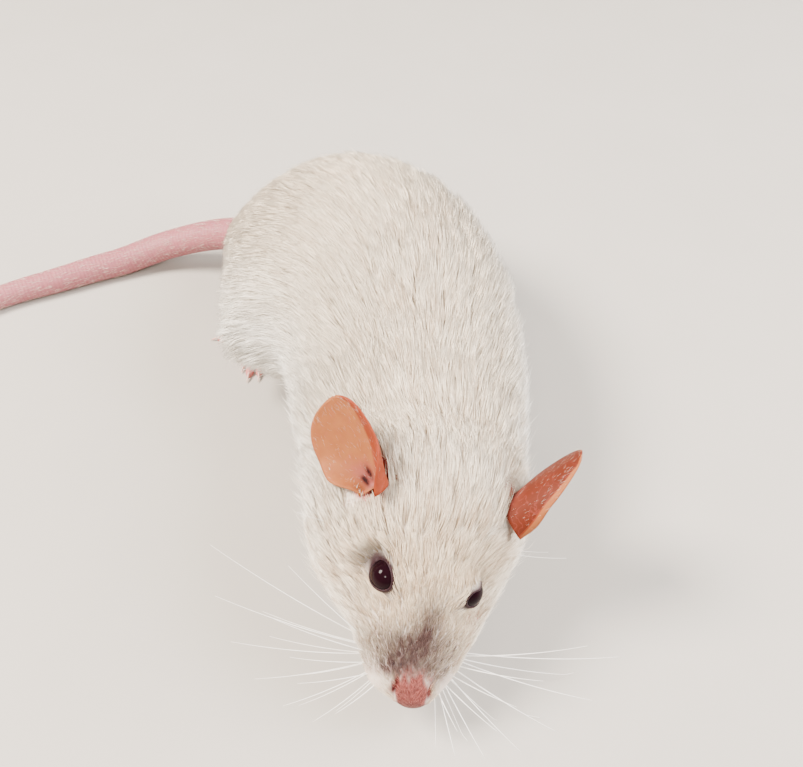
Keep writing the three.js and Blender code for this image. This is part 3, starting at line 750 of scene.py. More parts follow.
def toes_of(foot):
    """Start, heading and length of each toe."""
    kind, side, heel, heading, toes = foot
    ahead = side * np.radians(heading)
    way = np.array([np.sin(ahead), -np.cos(ahead), 0])
    outward_way = np.array([side * np.cos(ahead), side * np.sin(ahead), 0])
    for k, (fan, long, distance) in enumerate(toes):
        spread = (k / (len(toes) - 1) - 0.5) * 2 * (kind["toe_half"] - TOE_HALF * 0.7)
        start = np.array([*heel, 0]) + way * distance + outward_way * spread
        yield start, ahead + side * np.radians(fan), long


for name, foot in FEET.items():
    kind, side, heel, heading, _ = foot
    sole, wide, high = kind["sole"], kind["toe_half"], kind["toe_high"]
    piece = make_object(name + "_sole", *tube(bar((*heel, 0), side * np.radians(heading), [
        (-0.5, kind["heel_half"] * 0.35, kind["heel_high"] * 0.5),
        (0.2, kind["heel_half"] * 0.85, kind["heel_high"] * 0.9),
        (sole * 0.25, kind["heel_half"], kind["heel_high"]), (sole * 0.6, wide * 0.82, high * 1.15),
        (sole * 0.9, wide, high), (sole + 0.8, wide * 0.6, high * 0.6)])), FOOT)
    for start, point, long in toes_of(foot):
        piece = merge(piece, make_object("toe", *tube(bar(start, point, [
            (-1.4, 0.62, 1.3), (long * 0.12, 0.58, 1.2), (long * 0.38, 0.66, 1.22),
            (long * 0.6, 0.5, 1.0), (long * 0.82, 0.66, 1.12), (long * 0.97, 0.42, 0.8),
            (long + 0.15, 0.12, 0.4)], cols=20)), FOOT))
    body = merge(body, piece)
print("whole skin:", len(body.data.polygons), "faces")

# %% [markdown]
# ## Where the colours lie
# The muzzle of this white mouse has a smoky smudge on top, the nose pad and lips are pink, and the lids
# are dusky, with painted shade round them. Each marking is a formula of a point's place on the head, so
# that skin and coat take the same one. Ears and tail get their own measures: how far up the ear, and how
# far along the tail.

# %% Markings of the face
def smudge_at(p):
    """Smoky mark on the muzzle: two soft blotches, one between the eyes and one broad behind the nose,
    broken up by ripples about a millimetre and a half across."""
    back, left, up = from_head(p)
    behind_nose = hump(left, -1.0, 4.5) * smooth(back, 1.5, 2.7) * smooth(back, 8.2, 5.0)
    between = hump(left, 0.2, 1.6) * hump(back, 7.9, 2.0)
    ripple = 0.5 + 0.5 * np.sin(3.9 * left + 1.3 * np.sin(2.1 * back)) * np.sin(3.1 * back + 1.1 * left)
    by_nostril = 0.35 * hump(back, 1.9, 1.5) * hump(np.abs(left - 0.2), 2.9, 1.1)
    mark = (1.15 * behind_nose + 0.9 * between) * (0.75 + 0.25 * ripple) + by_nostril
    return np.clip(mark * smooth(up, -2.4, 0.2), 0, 1)


def pink_at(p):
    """Pink of the nose pad and lips, fading out behind them."""
    back, left, up = from_head(p)
    ragged = 0.12 * np.sin(5.1 * left + 2.3 * up) * np.sin(4.3 * up + 1.3 * left)
    high = smooth(up, 0, 1.5)
    aside = (left - 0.4 + 0.5 * high) / (1.75 + 0.7 * high)
    pad = smooth(np.hypot(aside, (up - 0.4) / 2.3) + ragged, 1.15, 0.8) * smooth(back + ragged, 3.5, 2.1)
    lips = hump(up + 0.16 * (back - 3), MOUTH_LEVEL + 0.3, 0.7) * smooth(back, 9, 6)
    return np.clip(pad + 0.8 * lips, 0, 1)


def nostril_at(p):
    """1 inside the two nostrils, where light hardly reaches."""
    back, left, up = from_head(p)
    side = np.abs(left - 0.1)
    slit = hump(side, 2.1 + 0.12 * (back - 1.3), 0.34) * hump(back, 1.2, 1.0) * smooth(up, -0.3, 0.5)
    return np.clip(1.7 * slit - 0.25, 0, 1)


print("smudge, pink and nostril 3 mm behind the nose tip and 1.5 mm over it:",
      [mark(in_head(3.0, 0.0, 1.5)[None]).round(2) for mark in (smudge_at, pink_at, nostril_at)])


# %% Marks of the ears, whisker roots and lids, with their painted shade
def canal_at(p):
    """1 down in the hollow at the root of each ear, a half round it and 0 about three millimetres out."""
    hollow = np.zeros(p.shape[:-1])
    for ear in EARS.values():
        off, up = by_ear(p, ear)
        rim = smooth(off, 3.3, 2.4) * smooth(up, 4.2, 2.2)
        pit = smooth(off, 1.7, 0.9) * smooth(up, 2.2, 0.6)
        hollow = np.maximum(hollow, 0.5 * rim + 0.5 * pit)
    return hollow


FOLLICLES = np.array([(5.9, 3.5), (5.0, 3.25), (4.15, 3.0), (3.4, 2.75), (4.5, 4.25), (3.5, 4.0), (5.6, 4.5),
                      (4.4, 1.95), (3.4, 1.9)])  # back from the nose tip and out to the side, in mm


def follicle_at(p):
    """1 on the dark dots round the roots of the whiskers."""
    back, left, up = from_head(p)
    side = np.where(left > 0, left * 1.25, -left)
    dots = 1.3 * sum(hump(back, b, 0.23) * hump(side, out, 0.23) for b, out in FOLLICLES)
    return np.clip(dots, 0, 1) * smooth(up, -2.6, -1.2)


def lid_and_shade_at(p):
    """1 on the bare rim of the lids, fading to 0 a little outside it, and further out at its corner: the
    rim's own dark mauve, then painted shade round the eye.
    """
    shade = np.zeros(p.shape[:-1])
    for side in (-1, 1):
        past, distance = past_lid(p, side)
        _, fore, over = eye_frame(side)
        q = p - ball_centre(side)
        corner = hump(round_from(np.arctan2(dot(q, over), dot(q, fore)), 0.3), 0, 0.9)
        reach = np.radians(30) + np.radians(22) * corner
        shade = np.maximum(shade, smooth(distance, 3.6, 2.6) * smooth(past, reach, np.radians(5)))
    return shade


print("canal at the root of the right ear:", canal_at(in_head(*EARS["ear_right"]["root"])[None]).round(2))


# %% Measures along ear and tail
def nearest(points, targets, chunk=2000):
    """Index of the target nearest to each point."""
    return np.concatenate([np.argmin(((points[i:i + chunk, None] - targets[None]) ** 2).sum(-1), axis=1)
                           for i in range(0, len(points), chunk)])


mesh = body.data
skin_points = np.empty(len(mesh.vertices) * 3)
mesh.vertices.foreach_get("co", skin_points)
skin_points = skin_points.reshape(-1, 3) / MM - SHIFT
face_part = np.empty(len(mesh.polygons), np.int32)
mesh.polygons.foreach_get("material_index", face_part)
corner = np.empty(len(mesh.loops), np.int32)
mesh.loops.foreach_get("vertex_index", corner)
totals = np.empty(len(mesh.polygons), np.int32)
mesh.polygons.foreach_get("loop_total", totals)
part_of = np.zeros(len(mesh.vertices), np.int32)
part_of[corner] = np.repeat(face_part, totals)

LEFT_EAR_SHADE, LEFT_EAR_RIM, RIM_FROM = 1.2, 0.1, 0.86  # the left ear is painted darker as shade, all but the rim
ear_up = np.zeros(len(skin_points))
ear_over = np.zeros(len(skin_points))
ear_deep_shade = np.zeros(len(skin_points))
ear_slot_shade = np.zeros(len(skin_points))
on_ear = np.flatnonzero(part_of == EAR)
for ear in EARS.values():
    v = np.linspace(0, 1, 60)
    sheet = ear_sheet(ear, v)
    mine = on_ear[np.sign(from_head(skin_points[on_ear])[1]) == ear["side"]]
    found = nearest(skin_points[mine], sheet.reshape(-1, 3))
    ear_up[mine] = v[found // sheet.shape[1]]
    over = found % sheet.shape[1] / (sheet.shape[1] - 1) * 2 - 1
    ear_over[mine] = over if ear["side"] < 0 else np.where(np.abs(over) < RIM_FROM, LEFT_EAR_SHADE, LEFT_EAR_RIM)
    # Painted shade: darker low in each ear's hollow, and near black in the slots of its canal.
    ear_deep_shade[mine] = smooth(ear_up[mine], 0.38, 0.12) * hump(over, -0.2, 0.34)
    slots = (hump(over, -0.06, 0.08) * hump(ear_up[mine], 0.13, 0.07)
             + hump(over, -0.33, 0.1) * hump(ear_up[mine], 0.07, 0.055))
    ear_slot_shade[mine] = np.clip(1.5 * slots, 0, 1)
tail_mm = np.zeros(len(skin_points))
on_tail = np.flatnonzero(part_of == TAIL)
s = np.arange(0, TAIL_LENGTH, 0.1)
tail_mm[on_tail] = s[nearest(skin_points[on_tail], tail_frame(s)[0])]
print("ear, tail, foot points:", len(on_ear), len(on_tail), (part_of == FOOT).sum())


# %% Give the skin its measures
def add_measure(mesh, name, values):
    """A number at every vertex that a material can read by name."""
    mesh.attributes.new(name, "FLOAT", "POINT").data.foreach_set("value", values.astype(np.float32))


for label, values in {"smudge": smudge_at(skin_points), "pink": pink_at(skin_points),
                      "nostril": nostril_at(skin_points), "follicle": follicle_at(skin_points),
                      "canal": canal_at(skin_points),
                      "lid": lid_and_shade_at(skin_points), "ear_up": ear_up, "ear_over": ear_over,
                      "ear_deep_shade": ear_deep_shade, "ear_slot_shade": ear_slot_shade,
                      "tail_mm": tail_mm}.items():
    add_measure(mesh, label, values)
    print(f"{label}: {values.min():.2f} to {values.max():.2f}")

# %% [markdown]
# ## The coat
# A white mouse's coat is thin straight hair that lies from nose to tail and down the flanks. Hairs
# gather into locks about a millimetre across whose tips draw together, with darker gaps between them.
# Each hair is a closed three-sided spike: a base, a bend half way and a tip. It is laid out in the
# body's own measures, along the spine and round it, so it follows every swell of the form.

# %% One tuft
TUFT_CORNERS, TUFT_FACES = 7, 10
sides3 = [(0, 1), (1, 2), (2, 0)]
TUFT = np.array([f for p, q in sides3 for f in ((p, q, q + 3), (p, q + 3, p + 3), (p + 3, q + 3, 6))]
                + [(0, 2, 1)])


def tuft_patch():
    """Place of each corner of each face in a tuft's own little patch: side by side, base to tip."""
    rows = []
    for k in range(3):
        x0, x1 = k / 3, (k + 0.9) / 3
        rows += [(x0, 0.2), (x1, 0.2), (x1, 0.6), (x0, 0.2), (x1, 0.6), (x0, 0.6),
                 (x0, 0.6), (x1, 0.6), ((x0 + x1) / 2, 1)]
    rows += [(0, 0.15), (0.4, 0.15), (0.2, 0)]
    return np.array(rows) - 0.5


PATCH_SIZE = 0.003
TUFT_PATCH = tuft_patch() * PATCH_SIZE
print("triangles in one tuft:", len(TUFT), "and corners on its patch:", len(TUFT_PATCH))


# %% A mesh of tufts
def coat_mesh(name, roots, bends, tips, normals, width, place, measures):
    """One mesh of spikes. A ring of three points stands at the root and at the bend:
    centre +- width / 2 * sideways, and centre + width / 2 * outward."""
    count = len(roots)
    sideways = unit(np.cross(normals, tips - roots))
    wide = width[:, None] / 2
    rings = [c for centre, k in ((roots, 0.8), (bends, 1.0)) for c in
             (centre - sideways * wide * k, centre + sideways * wide * k, centre + normals * wide * k)]
    verts = to_row(np.stack(rings + [tips], axis=1))
    mesh = bpy.data.meshes.new(name)
    mesh.vertices.add(count * TUFT_CORNERS)
    mesh.vertices.foreach_set("co", verts.ravel())
    corners = (TUFT[None] + np.arange(count)[:, None, None] * TUFT_CORNERS).ravel()
    mesh.loops.add(len(corners))
    mesh.loops.foreach_set("vertex_index", corners)
    mesh.polygons.add(count * TUFT_FACES)
    mesh.polygons.foreach_set("loop_start", np.arange(count * TUFT_FACES) * 3)
    mesh.polygons.foreach_set("use_smooth", np.ones(count * TUFT_FACES, bool))
    mesh.update(calc_edges=True)
    uv = mesh.uv_layers.new(name="OFBake")
    spread = (place[:, None] * (1 - 2 * PATCH_SIZE) + PATCH_SIZE + TUFT_PATCH[None]).ravel()
    uv.data.foreach_set("uv", spread)
    add_measure(mesh, "tip", np.tile([0, 0, 0, 0.5, 0.5, 0.5, 1], count))
    for label, values in measures.items():
        add_measure(mesh, label, np.repeat(values, TUFT_CORNERS))
    obj = bpy.data.objects.new(name, mesh)
    bpy.context.scene.collection.objects.link(obj)
    return obj


print("a piece of 19,500 tufts has", 19500 * len(TUFT), "triangles")

# %% [markdown]
# ## Laying the hair on the body
# Roots are drawn at random, evenly over the skin. Guides, about one to each square millimetre, stand
# for the locks: a hair takes most of its direction from itself, but its tip is drawn towards the tip of
# the nearest guide's hair. Length, width and how far the tips come together glide along the spine.

# %% Hair by place
HAIR = np.array([  # mm along the spine, length, width, hairs per square mm, lock spacing
    (0, 0.35, 0.03, 50, 0.5), (4, 0.65, 0.042, 54, 0.6), (9, 1.25, 0.055, 42, 0.8),
    (14, 2.2, 0.068, 32, 0.9), (20, 3.6, 0.08, 26, 1.1), (28, 5.0, 0.09, 19.5, 1.2),
    (42, 5.8, 0.10, 17, 1.3), (70, 6.2, 0.105, 17, 1.4), (90, 5.2, 0.105, 13.5, 1.2),
    (100, 3.5, 0.095, 12, 1.0),
])


def hair_at(s, k):
    """Column k of the table of hair, gliding along the spine."""
    return glide(HAIR[:, 0], HAIR[:, k], s)


print("hairs to the square mm at 4, 20 and 60 mm:", hair_at(np.array([4.0, 20.0, 60.0]), 3).round(1))


# %% Where no hair grows
def bare_at(p):
    """1 where no body hair grows: on the eyes, the nose pad, inside the ears and under the tail."""
    bare = np.zeros(p.shape[:-1])
    for side in (-1, 1):
        past, distance = past_lid(p, side)
        bare = np.maximum(bare, smooth(past, np.radians(17), np.radians(10)) * (distance < 2.6))
    bare = np.maximum(bare, 0.75 * smooth(pink_at(p), 0.2, 0.7))
    for ear in EARS.values():
        off, up = by_ear(p, ear)
        bare = np.maximum(bare, smooth(off, 2.3, 1.8) * (up > -3) * (up < 5))
    centre, _, radius = tail_frame(np.array([0.5]))
    return np.maximum(bare, smooth(np.linalg.norm(p - centre[0], axis=-1), radius[0] + 0.4, radius[0]))


def crosses_eye(*places):
    """True where one of the places lies in front of an eye's opening."""
    blocked = np.zeros(len(places[0]), bool)
    for side in (-1, 1):
        for p in places:
            past, distance = past_lid(p, side)
            blocked |= (past < np.radians(4)) & (distance < 4.0)
    return blocked


def crosses_ear(*places):
    """True where one of the places lies in front of an ear's opening."""
    blocked = np.zeros(len(places[0]), bool)
    for ear in EARS.values():
        rise, facing, across = ear_frame(ear)
        for p in places:
            q = p - in_head(*ear["root"])
            up = dot(q, rise)
            blocked |= (up > 0.1) & (up < 9) & (dot(q, facing) > -0.7) & (np.abs(dot(q, across)) < 3.2)
    return blocked


print("bare on the nose pad and on the back:",
      bare_at(np.stack([in_head(0.3, 0.3, 0.4), body_point(haunch, np.array([TURN / 4]), 0)[0]])).round(2))


# %% Drawing the roots
def draw_roots(rng, count_per_mm, start, stop):
    """Places (s, a) drawn evenly by area times count_per_mm(s), one from each equal share of it."""
    ns, na = 200, 240
    ds, da = (stop - start) / ns, TURN / na
    s, a = np.meshgrid(start + (np.arange(ns) + 0.5) * ds, (np.arange(na) + 0.5) * da, indexing="ij")
    along = body_point(s + ds / 2, a, 0) - body_point(s - ds / 2, a, 0)
    across = body_point(s, a + da / 2, 0) - body_point(s, a - da / 2, 0)
    share = np.linalg.norm(np.cross(along, across), axis=-1) * count_per_mm(s)
    share = (share * (1 - bare_at(body_point(s, a, 0)))).ravel()
    total = np.cumsum(share)
    count = int(total[-1])
    cell = np.searchsorted(total, (np.arange(count) + rng.random(count)) / count * total[-1])
    cell = np.minimum(cell, ns * na - 1)
    return (s.ravel()[cell] + (rng.random(count) - 0.5) * ds,
            a.ravel()[cell] + (rng.random(count) - 0.5) * da)


print("locks on the back between 50 and 60 mm:",
      len(draw_roots(np.random.default_rng(1), lambda s: 1 / hair_at(s, 4) ** 2, 50, 60)[0]))


# %% Where a hair ends
def droop(s, a):
    """Lean of the hair towards the belly, in radians: most on the flanks, none along the back."""
    flank = 0.26 * smooth(s, 24, 44) * smooth(s, 86, 72) * np.where(np.cos(a) < 0, 1.0, 0.4)
    return -np.cos(a) * (0.16 + flank + 0.22 * hump(s, 14, 9) + 0.10 * hump(s, 68, 12))


def lay_to(s, a, length, lean):
    """Place a hair reaches: length * cos lean further along the spine, length * sin lean round it."""
    d = 0.05
    per_s = np.linalg.norm(body_point(s + d, a, 0) - body_point(s - d, a, 0), axis=-1) / (2 * d)
    per_a = np.linalg.norm(body_point(s, a + d, 0) - body_point(s, a - d, 0), axis=-1) / (2 * d)
    per_s, per_a = np.maximum(per_s, 0.35), np.maximum(per_a, 1.5)
    return np.minimum(s + length * np.cos(lean) / per_s, SPINE - 0.4), a + length * np.sin(lean) / per_a


def nearest_guide(s, a, guide_s, guide_a, spacing):
    """Nearest guide to each root, looked for among those in the cells round it on the unrolled skin."""
    girth = (section(s)[3] + section(s)[4]) / 2
    p = np.column_stack([s, girth * np.cos(a), girth * np.sin(a)])
    girth = (section(guide_s)[3] + section(guide_s)[4]) / 2
    g = np.column_stack([guide_s, girth * np.cos(guide_a), girth * np.sin(guide_a)])
    best = np.zeros(len(s), int)
    order = np.argsort(guide_s)
    sorted_s = guide_s[order]
    for i in range(0, len(s), 400):
        near = slice(*np.searchsorted(sorted_s, [s[i:i + 400].min() - spacing * 1.6,
                                                 s[i:i + 400].max() + spacing * 1.6]))
        pool = order[near]
        best[i:i + 400] = pool[((p[i:i + 400, None] - g[pool][None]) ** 2).sum(-1).argmin(1)]
    return best


print("lean of the hair on the right haunch in degrees:", np.degrees(droop(haunch, side_on)).round(1))

# %% How the hair varies
FLANK_LIFT = 0.3
GUARD_SHARE, GUARD_WIDTH = 0.06, 0.55  # long thin hairs that stand out of the coat
LOCK_SHARE = 0.45  # how much of a hair's tone is its lock's
TOE_TRIM = 0.72


def cream_and_shade_at(s, a):
    """How far the white turns warm and darker, partly the coat's own cream tint and partly painted shade:
    some along the back, more on the face, none on the flanks.
    """
    over = smooth(np.sin(a), 0.0, 0.85)
    return 0.6 * over * smooth(s, 12, 26) + (0.3 + 0.6 * over) * smooth(s, 24, 12)


def tone_share(s, a):
    """How much of the tone between locks shows: more on the face, less on the flanks."""
    return 1 + 0.28 * smooth(s, 24, 13) - 0.24 * np.abs(np.cos(a)) * smooth(s, 26, 40)


def by_toes(p):
    """1 low down beside the toes of a hind foot, where the hair is short, fading to 0 in 8 mm."""
    near = np.zeros(len(p))
    for name in ("hind_foot_right", "hind_foot_left"):
        for start, _, _ in toes_of(FEET[name]):
            away = np.hypot(p[:, 0] - start[0], p[:, 1] - start[1])
            near = np.maximum(near, smooth(away, 7.5, 4.5) * smooth(p[:, 2], 9, 4.5))
    return near


print("cream and tone on the right haunch:", cream_and_shade_at(haunch, side_on), tone_share(haunch, side_on).round(2))


# %% Comb one length of the body
def comb(name, seed, start, stop):
    """The hair whose roots lie from start to stop along the spine, as one mesh."""
    rng = np.random.default_rng(seed)
    s, a = draw_roots(rng, lambda s: hair_at(s, 3), start, stop)
    order = np.argsort(s)
    s, a = s[order], a[order]
    count = len(s)
    gap = float(hair_at(np.array([(start + stop) / 2]), 4)[0])
    gs, ga = draw_roots(rng, lambda s: 1 / hair_at(s, 4) ** 2, start - gap, stop + gap)
    guide_lean = droop(gs, ga) + rng.normal(0, 0.13, len(gs))
    guide_length = hair_at(gs, 1) * rng.uniform(0.85, 1.15, len(gs))
    guide_length = guide_length * (1 - TOE_TRIM * by_toes(body_point(gs, ga, 0)))
    guide_lift = rng.uniform(0.6, 1.0, len(gs))
    end_s, end_a = lay_to(gs, ga, guide_length, guide_lean)
    mine = nearest_guide(s, a, gs, ga, gap)
    trim = 1 - TOE_TRIM * by_toes(body_point(s, a, 0))
    length = hair_at(s, 1) * rng.uniform(0.7, 1.1, count) * trim
    lean = droop(s, a) * 0.5 + guide_lean[mine] * 0.5 + rng.normal(0, 0.08, count)
    tip_s, tip_a = lay_to(s, a, length, lean)
    wrap = TURN * np.round((tip_a - end_a[mine]) / TURN)
    pull = rng.uniform(0.1, 0.6, count)
    tip_s = tip_s + (end_s[mine] - tip_s) * pull * 0.5
    tip_a = tip_a + (end_a[mine] + wrap - tip_a) * pull
    guard = rng.random(count) < GUARD_SHARE
    fuller = 1 + FLANK_LIFT * np.abs(np.cos(a)) - FLANK_LIFT * np.maximum(np.sin(a), 0)
    lift = coat_depth(tip_s, tip_a) * guide_lift[mine] * rng.uniform(0.7, 1.2, count) * fuller
    stand = coat_depth(tip_s, tip_a) * (0.45 + 0.75 * hump(s, 16, 12)) * rng.uniform(0.3, 1.2, count)
    lift = np.where(guard, lift + stand, lift) * trim
    roots = body_point(s, a, -0.04)
    mid_s, mid_a = s + (tip_s - s) * 0.5, a + (tip_a - a) * 0.45
    bends = body_point(mid_s, mid_a, lift * 0.68)
    tips = body_point(tip_s, tip_a, lift)
    width = hair_at(s, 2) * rng.uniform(0.7, 1.25, count) * np.where(guard, GUARD_WIDTH, 1)
    place = np.column_stack([a / TURN % 1, (s - start) / (stop - start)])
    for _ in range(2):
        short = crosses_ear(bends, tips)[:, None]
        bends, tips = np.where(short, (roots + bends) / 2, bends), np.where(short, bends, tips)
    keep = ~(crosses_eye(bends, tips, (bends + tips) / 2) | crosses_ear(tips))
    tone = rng.uniform(0, 1, count) * (1 - LOCK_SHARE) + rng.uniform(0, 1, len(gs))[mine] * LOCK_SHARE
    measures = {"tone": tone * tone_share(s, a),
                "cream_and_shade": cream_and_shade_at(s, a),
                "smudge": np.maximum(smudge_at(roots), follicle_at(roots)), "pink": pink_at(roots),
                "lid": 0.3 * lid_and_shade_at(roots)}
    measures = {label: values[keep] for label, values in measures.items()}
    return coat_mesh(name, roots[keep], bends[keep], tips[keep], body_normal(s, a)[keep], width[keep],
                     place[keep], measures)


LENGTHS = [("face", 0.6, 13.5), ("head", 13.5, 22), ("nape", 22, 34), ("shoulders", 34, 47),
           ("back", 47, 59), ("loins", 59, 70), ("rump", 70, 81), ("tail_root", 81, SPINE - 0.6)]
coat = []
for seed, (label, start, stop) in enumerate(LENGTHS, start=11):
    coat.append(comb("coat_" + label, seed, start, stop))
    print(coat[-1].name, len(coat[-1].data.polygons), "triangles")

# %% [markdown]
# ## Short hair on legs, feet, ears and tail
# The bare-looking parts are not bare. Legs carry short fur, the backs of the feet and the ears a thin
# down, and the tail stiff hairs that lie towards its tip. All use the same spike, laid from a root
# along a direction.

# %% Short hair
def straight_hair(name, seed, roots, normals, way, length, lift, width, place, fluff=0.2):
    """Tips at root + length * (way + fluff * random), lifted along the normal; bends two fifths there."""
    rng = np.random.default_rng(seed)
    count = len(roots)
    stray = rng.normal(0, fluff, (count, 3))
    way = unit(way + stray - normals * dot(way + stray, normals)[..., None])
    long = (length * rng.uniform(0.7, 1.2, count))[:, None]
    high = (lift * rng.uniform(0.6, 1.3, count))[:, None]
    tips = roots + way * long + normals * high
    bends = roots + way * long * 0.45 + normals * high * 0.7
    for p in (bends, tips):
        p[:, 2] = np.maximum(p[:, 2], 0.15)
    measures = {"tone": rng.uniform(0, 1, count), "smudge": np.zeros(count), "pink": np.zeros(count),
                "lid": 0.85 * lid_and_shade_at(roots), "cream_and_shade": np.full(count, 0.4)}
    return coat_mesh(name, roots - normals * 0.04, bends, tips, normals,
                     width * rng.uniform(0.7, 1.2, count), place, measures)


def outside_body(p):
    """How far points lie outside the skin of the trunk, as a share of its section: above 1 is outside."""
    s = np.linspace(20, SPINE - 2, 160)
    centre, right, over, half, high = section(s)
    ahead = np.cross(right, over)
    q = p[:, None] - centre[None]
    slab = np.abs(dot(q, ahead[None]))
    pick = slab.argmin(1)
    q = q[np.arange(len(p)), pick]
    x, y = dot(q, right[pick]), dot(q, over[pick])
    out = swelling(s[pick], np.arctan2(y, x)) - coat_depth(s[pick], np.arctan2(y, x))
    return np.hypot(x / (half[pick] + out), y / (high[pick] + out))


print("5 mm out from the haunch, as a share of its section:",
      outside_body(body_point(haunch, side_on, 5.0)).round(2))

# %% Short hair round the eyes
rng = np.random.default_rng(29)
skin_normals = np.empty(len(body.data.vertices) * 3)
body.data.vertices.foreach_get("normal", skin_normals)
skin_normals = skin_normals.reshape(-1, 3)
HAIRS_BY_EYE = 1100
fringe = []
for side in (-1, 1):
    past, distance = past_lid(skin_points, side)
    rim = np.flatnonzero((past > np.radians(14)) & (distance > EYE_RADIUS) & (distance < 3.3)
                         & (part_of == SKIN) & (dot(skin_normals, eye_frame(side)[0]) > 0.1))
    chosen = rng.choice(rim, HAIRS_BY_EYE)
    p = skin_points[chosen] + rng.normal(0, 0.06, (len(chosen), 3))
    q = p - ball_centre(side)
    axis = eye_frame(side)[0]
    away = unit(q - axis * dot(q, axis)[:, None]) - 0.9 * FORWARD
    place = np.column_stack([0.5 + 0.12 * side + 0.02 * dot(q, FORWARD), 0.5 + 0.02 * dot(q, CROWN)])
    fringe.append((p, skin_normals[chosen], away, place, 0.35 + 0.45 * (distance[chosen] - EYE_RADIUS)))
roots, normals, ways, places, lengths = map(np.concatenate, zip(*fringe))
coat.append(straight_hair("coat_round_eyes", 30, roots, normals, ways, lengths, 0.12, 0.045, places, 0.25))
print("hairs round the eyes:", len(roots))

# %% Hair round the roots of the ears
rng = np.random.default_rng(28)
HAIRS_BY_EAR = 800
fringe = []
for ear in EARS.values():
    rise, facing, across = ear_frame(ear)
    q = skin_points - in_head(*ear["root"])
    spread = q - rise * dot(q, rise)[..., None]
    off = np.linalg.norm(spread, axis=-1)
    rim = np.flatnonzero((off > 2.3) & (off < 4.4) & (np.abs(dot(q, rise)) < 4) & (part_of == SKIN))
    chosen = rng.choice(rim, HAIRS_BY_EAR)
    q, out = q[chosen], unit(spread[chosen])
    way = rise - 0.35 * out + 0.25 * CROWN
    longest, less_in_front = ear["fringe"]
    long = longest - less_in_front * smooth(dot(out, facing), -0.1, 0.5)
    place = np.column_stack([0.5 + 0.2 * ear["side"] + 0.02 * dot(q, facing), 0.5 + 0.02 * dot(q, across)])
    p = skin_points[chosen] + rng.normal(0, 0.08, (len(chosen), 3))
    fringe.append((p, skin_normals[chosen], way, place, long))
roots, normals, ways, places, lengths = map(np.concatenate, zip(*fringe))
coat.append(straight_hair("coat_ear_roots", 27, roots, normals, ways, lengths, 0.4, 0.05, places, 0.22))
print("hairs round the ears' roots:", len(roots))

# %% Fur on the lower legs
rng = np.random.default_rng(31)
LEG_HAIRS = 2000
leg_roots, leg_normals, leg_ways, leg_places = [], [], [], []
for k, name in enumerate(LOWER_LEGS):
    theta = np.arccos(rng.uniform(-0.97, 0.97, LEG_HAIRS))
    phi = rng.uniform(0, TURN, LEG_HAIRS)
    p = leg_point(name, theta, phi)
    out = unit(leg_point(name, theta, phi, 1.0) - p)
    keep = (outside_body(p) > 0.97) & (p[:, 2] > 0.8)
    down = unit(np.array(LOWER_LEGS[name][1]) - np.array(LOWER_LEGS[name][0]))
    leg_roots.append(p[keep])
    leg_normals.append(out[keep])
    leg_ways.append(np.tile(down, (keep.sum(), 1)))
    leg_places.append(np.column_stack([phi / TURN / 4 + k / 4, theta / np.pi])[keep])
leg_roots, leg_normals, leg_ways, leg_places = map(
    np.concatenate, (leg_roots, leg_normals, leg_ways, leg_places))
coat.append(straight_hair("coat_legs", 32, leg_roots, leg_normals, leg_ways, 1.7, 0.35, 0.11, leg_places))
print("hairs on the lower legs:", len(leg_roots))


# %% Down on the feet
def on_mesh(rng, verts, faces, count):
    """Random points on triangles, evenly by area, with the faces' normals."""
    a, b, c = (verts[faces[:, k]] for k in range(3))
    cross = np.cross(b - a, c - a)
    total = np.cumsum(np.linalg.norm(cross, axis=1))
    pick = np.searchsorted(total, rng.random(count) * total[-1])
    u, v = rng.random((2, count))
    u, v = np.where(u + v > 1, 1 - u, u), np.where(u + v > 1, 1 - v, v)
    p = a[pick] + (b - a)[pick] * u[:, None] + (c - a)[pick] * v[:, None]
    return p, unit(cross[pick])


rng = np.random.default_rng(33)
HIND_FOOT_HAIRS, FOREPAW_HAIRS = 1500, 420
foot_down = []
for k, (name, foot) in enumerate(FEET.items()):
    kind, side, heel, heading, _ = foot
    ahead = side * np.radians(heading)
    profile = [(-0.5, kind["heel_half"] * 0.35, kind["heel_high"] * 0.5),
               (kind["sole"] * 0.25, kind["heel_half"], kind["heel_high"]),
               (kind["sole"] * 0.9, kind["toe_half"], kind["toe_high"]),
               (kind["sole"] + 0.8, kind["toe_half"] * 0.6, kind["toe_high"] * 0.6)]
    verts, faces = tube(bar((*heel, 0), ahead, profile))
    triangles = np.concatenate([faces[0][:, :3], faces[0][:, [0, 2, 3]]])
    p, out = on_mesh(rng, verts, triangles, HIND_FOOT_HAIRS if kind is HIND else FOREPAW_HAIRS)
    keep = out[:, 2] > 0.15
    way = np.tile([np.sin(ahead), -np.cos(ahead), -0.1], (keep.sum(), 1))
    along = dot(p[keep][:, :2] - np.array(heel), way[:, :2]) / (kind["sole"] + 1)
    place = np.column_stack([k / 4 + 0.25 * (0.5 + 0.5 * out[keep][:, 0]), np.clip(along, 0, 1)])
    foot_down.append((p[keep], out[keep], way, place))
roots, normals, ways, places = map(np.concatenate, zip(*foot_down))
coat.append(straight_hair("coat_feet", 34, roots, normals, ways, 1.0, 0.16, 0.05, places, 0.15))
print("hairs on the feet:", len(roots))

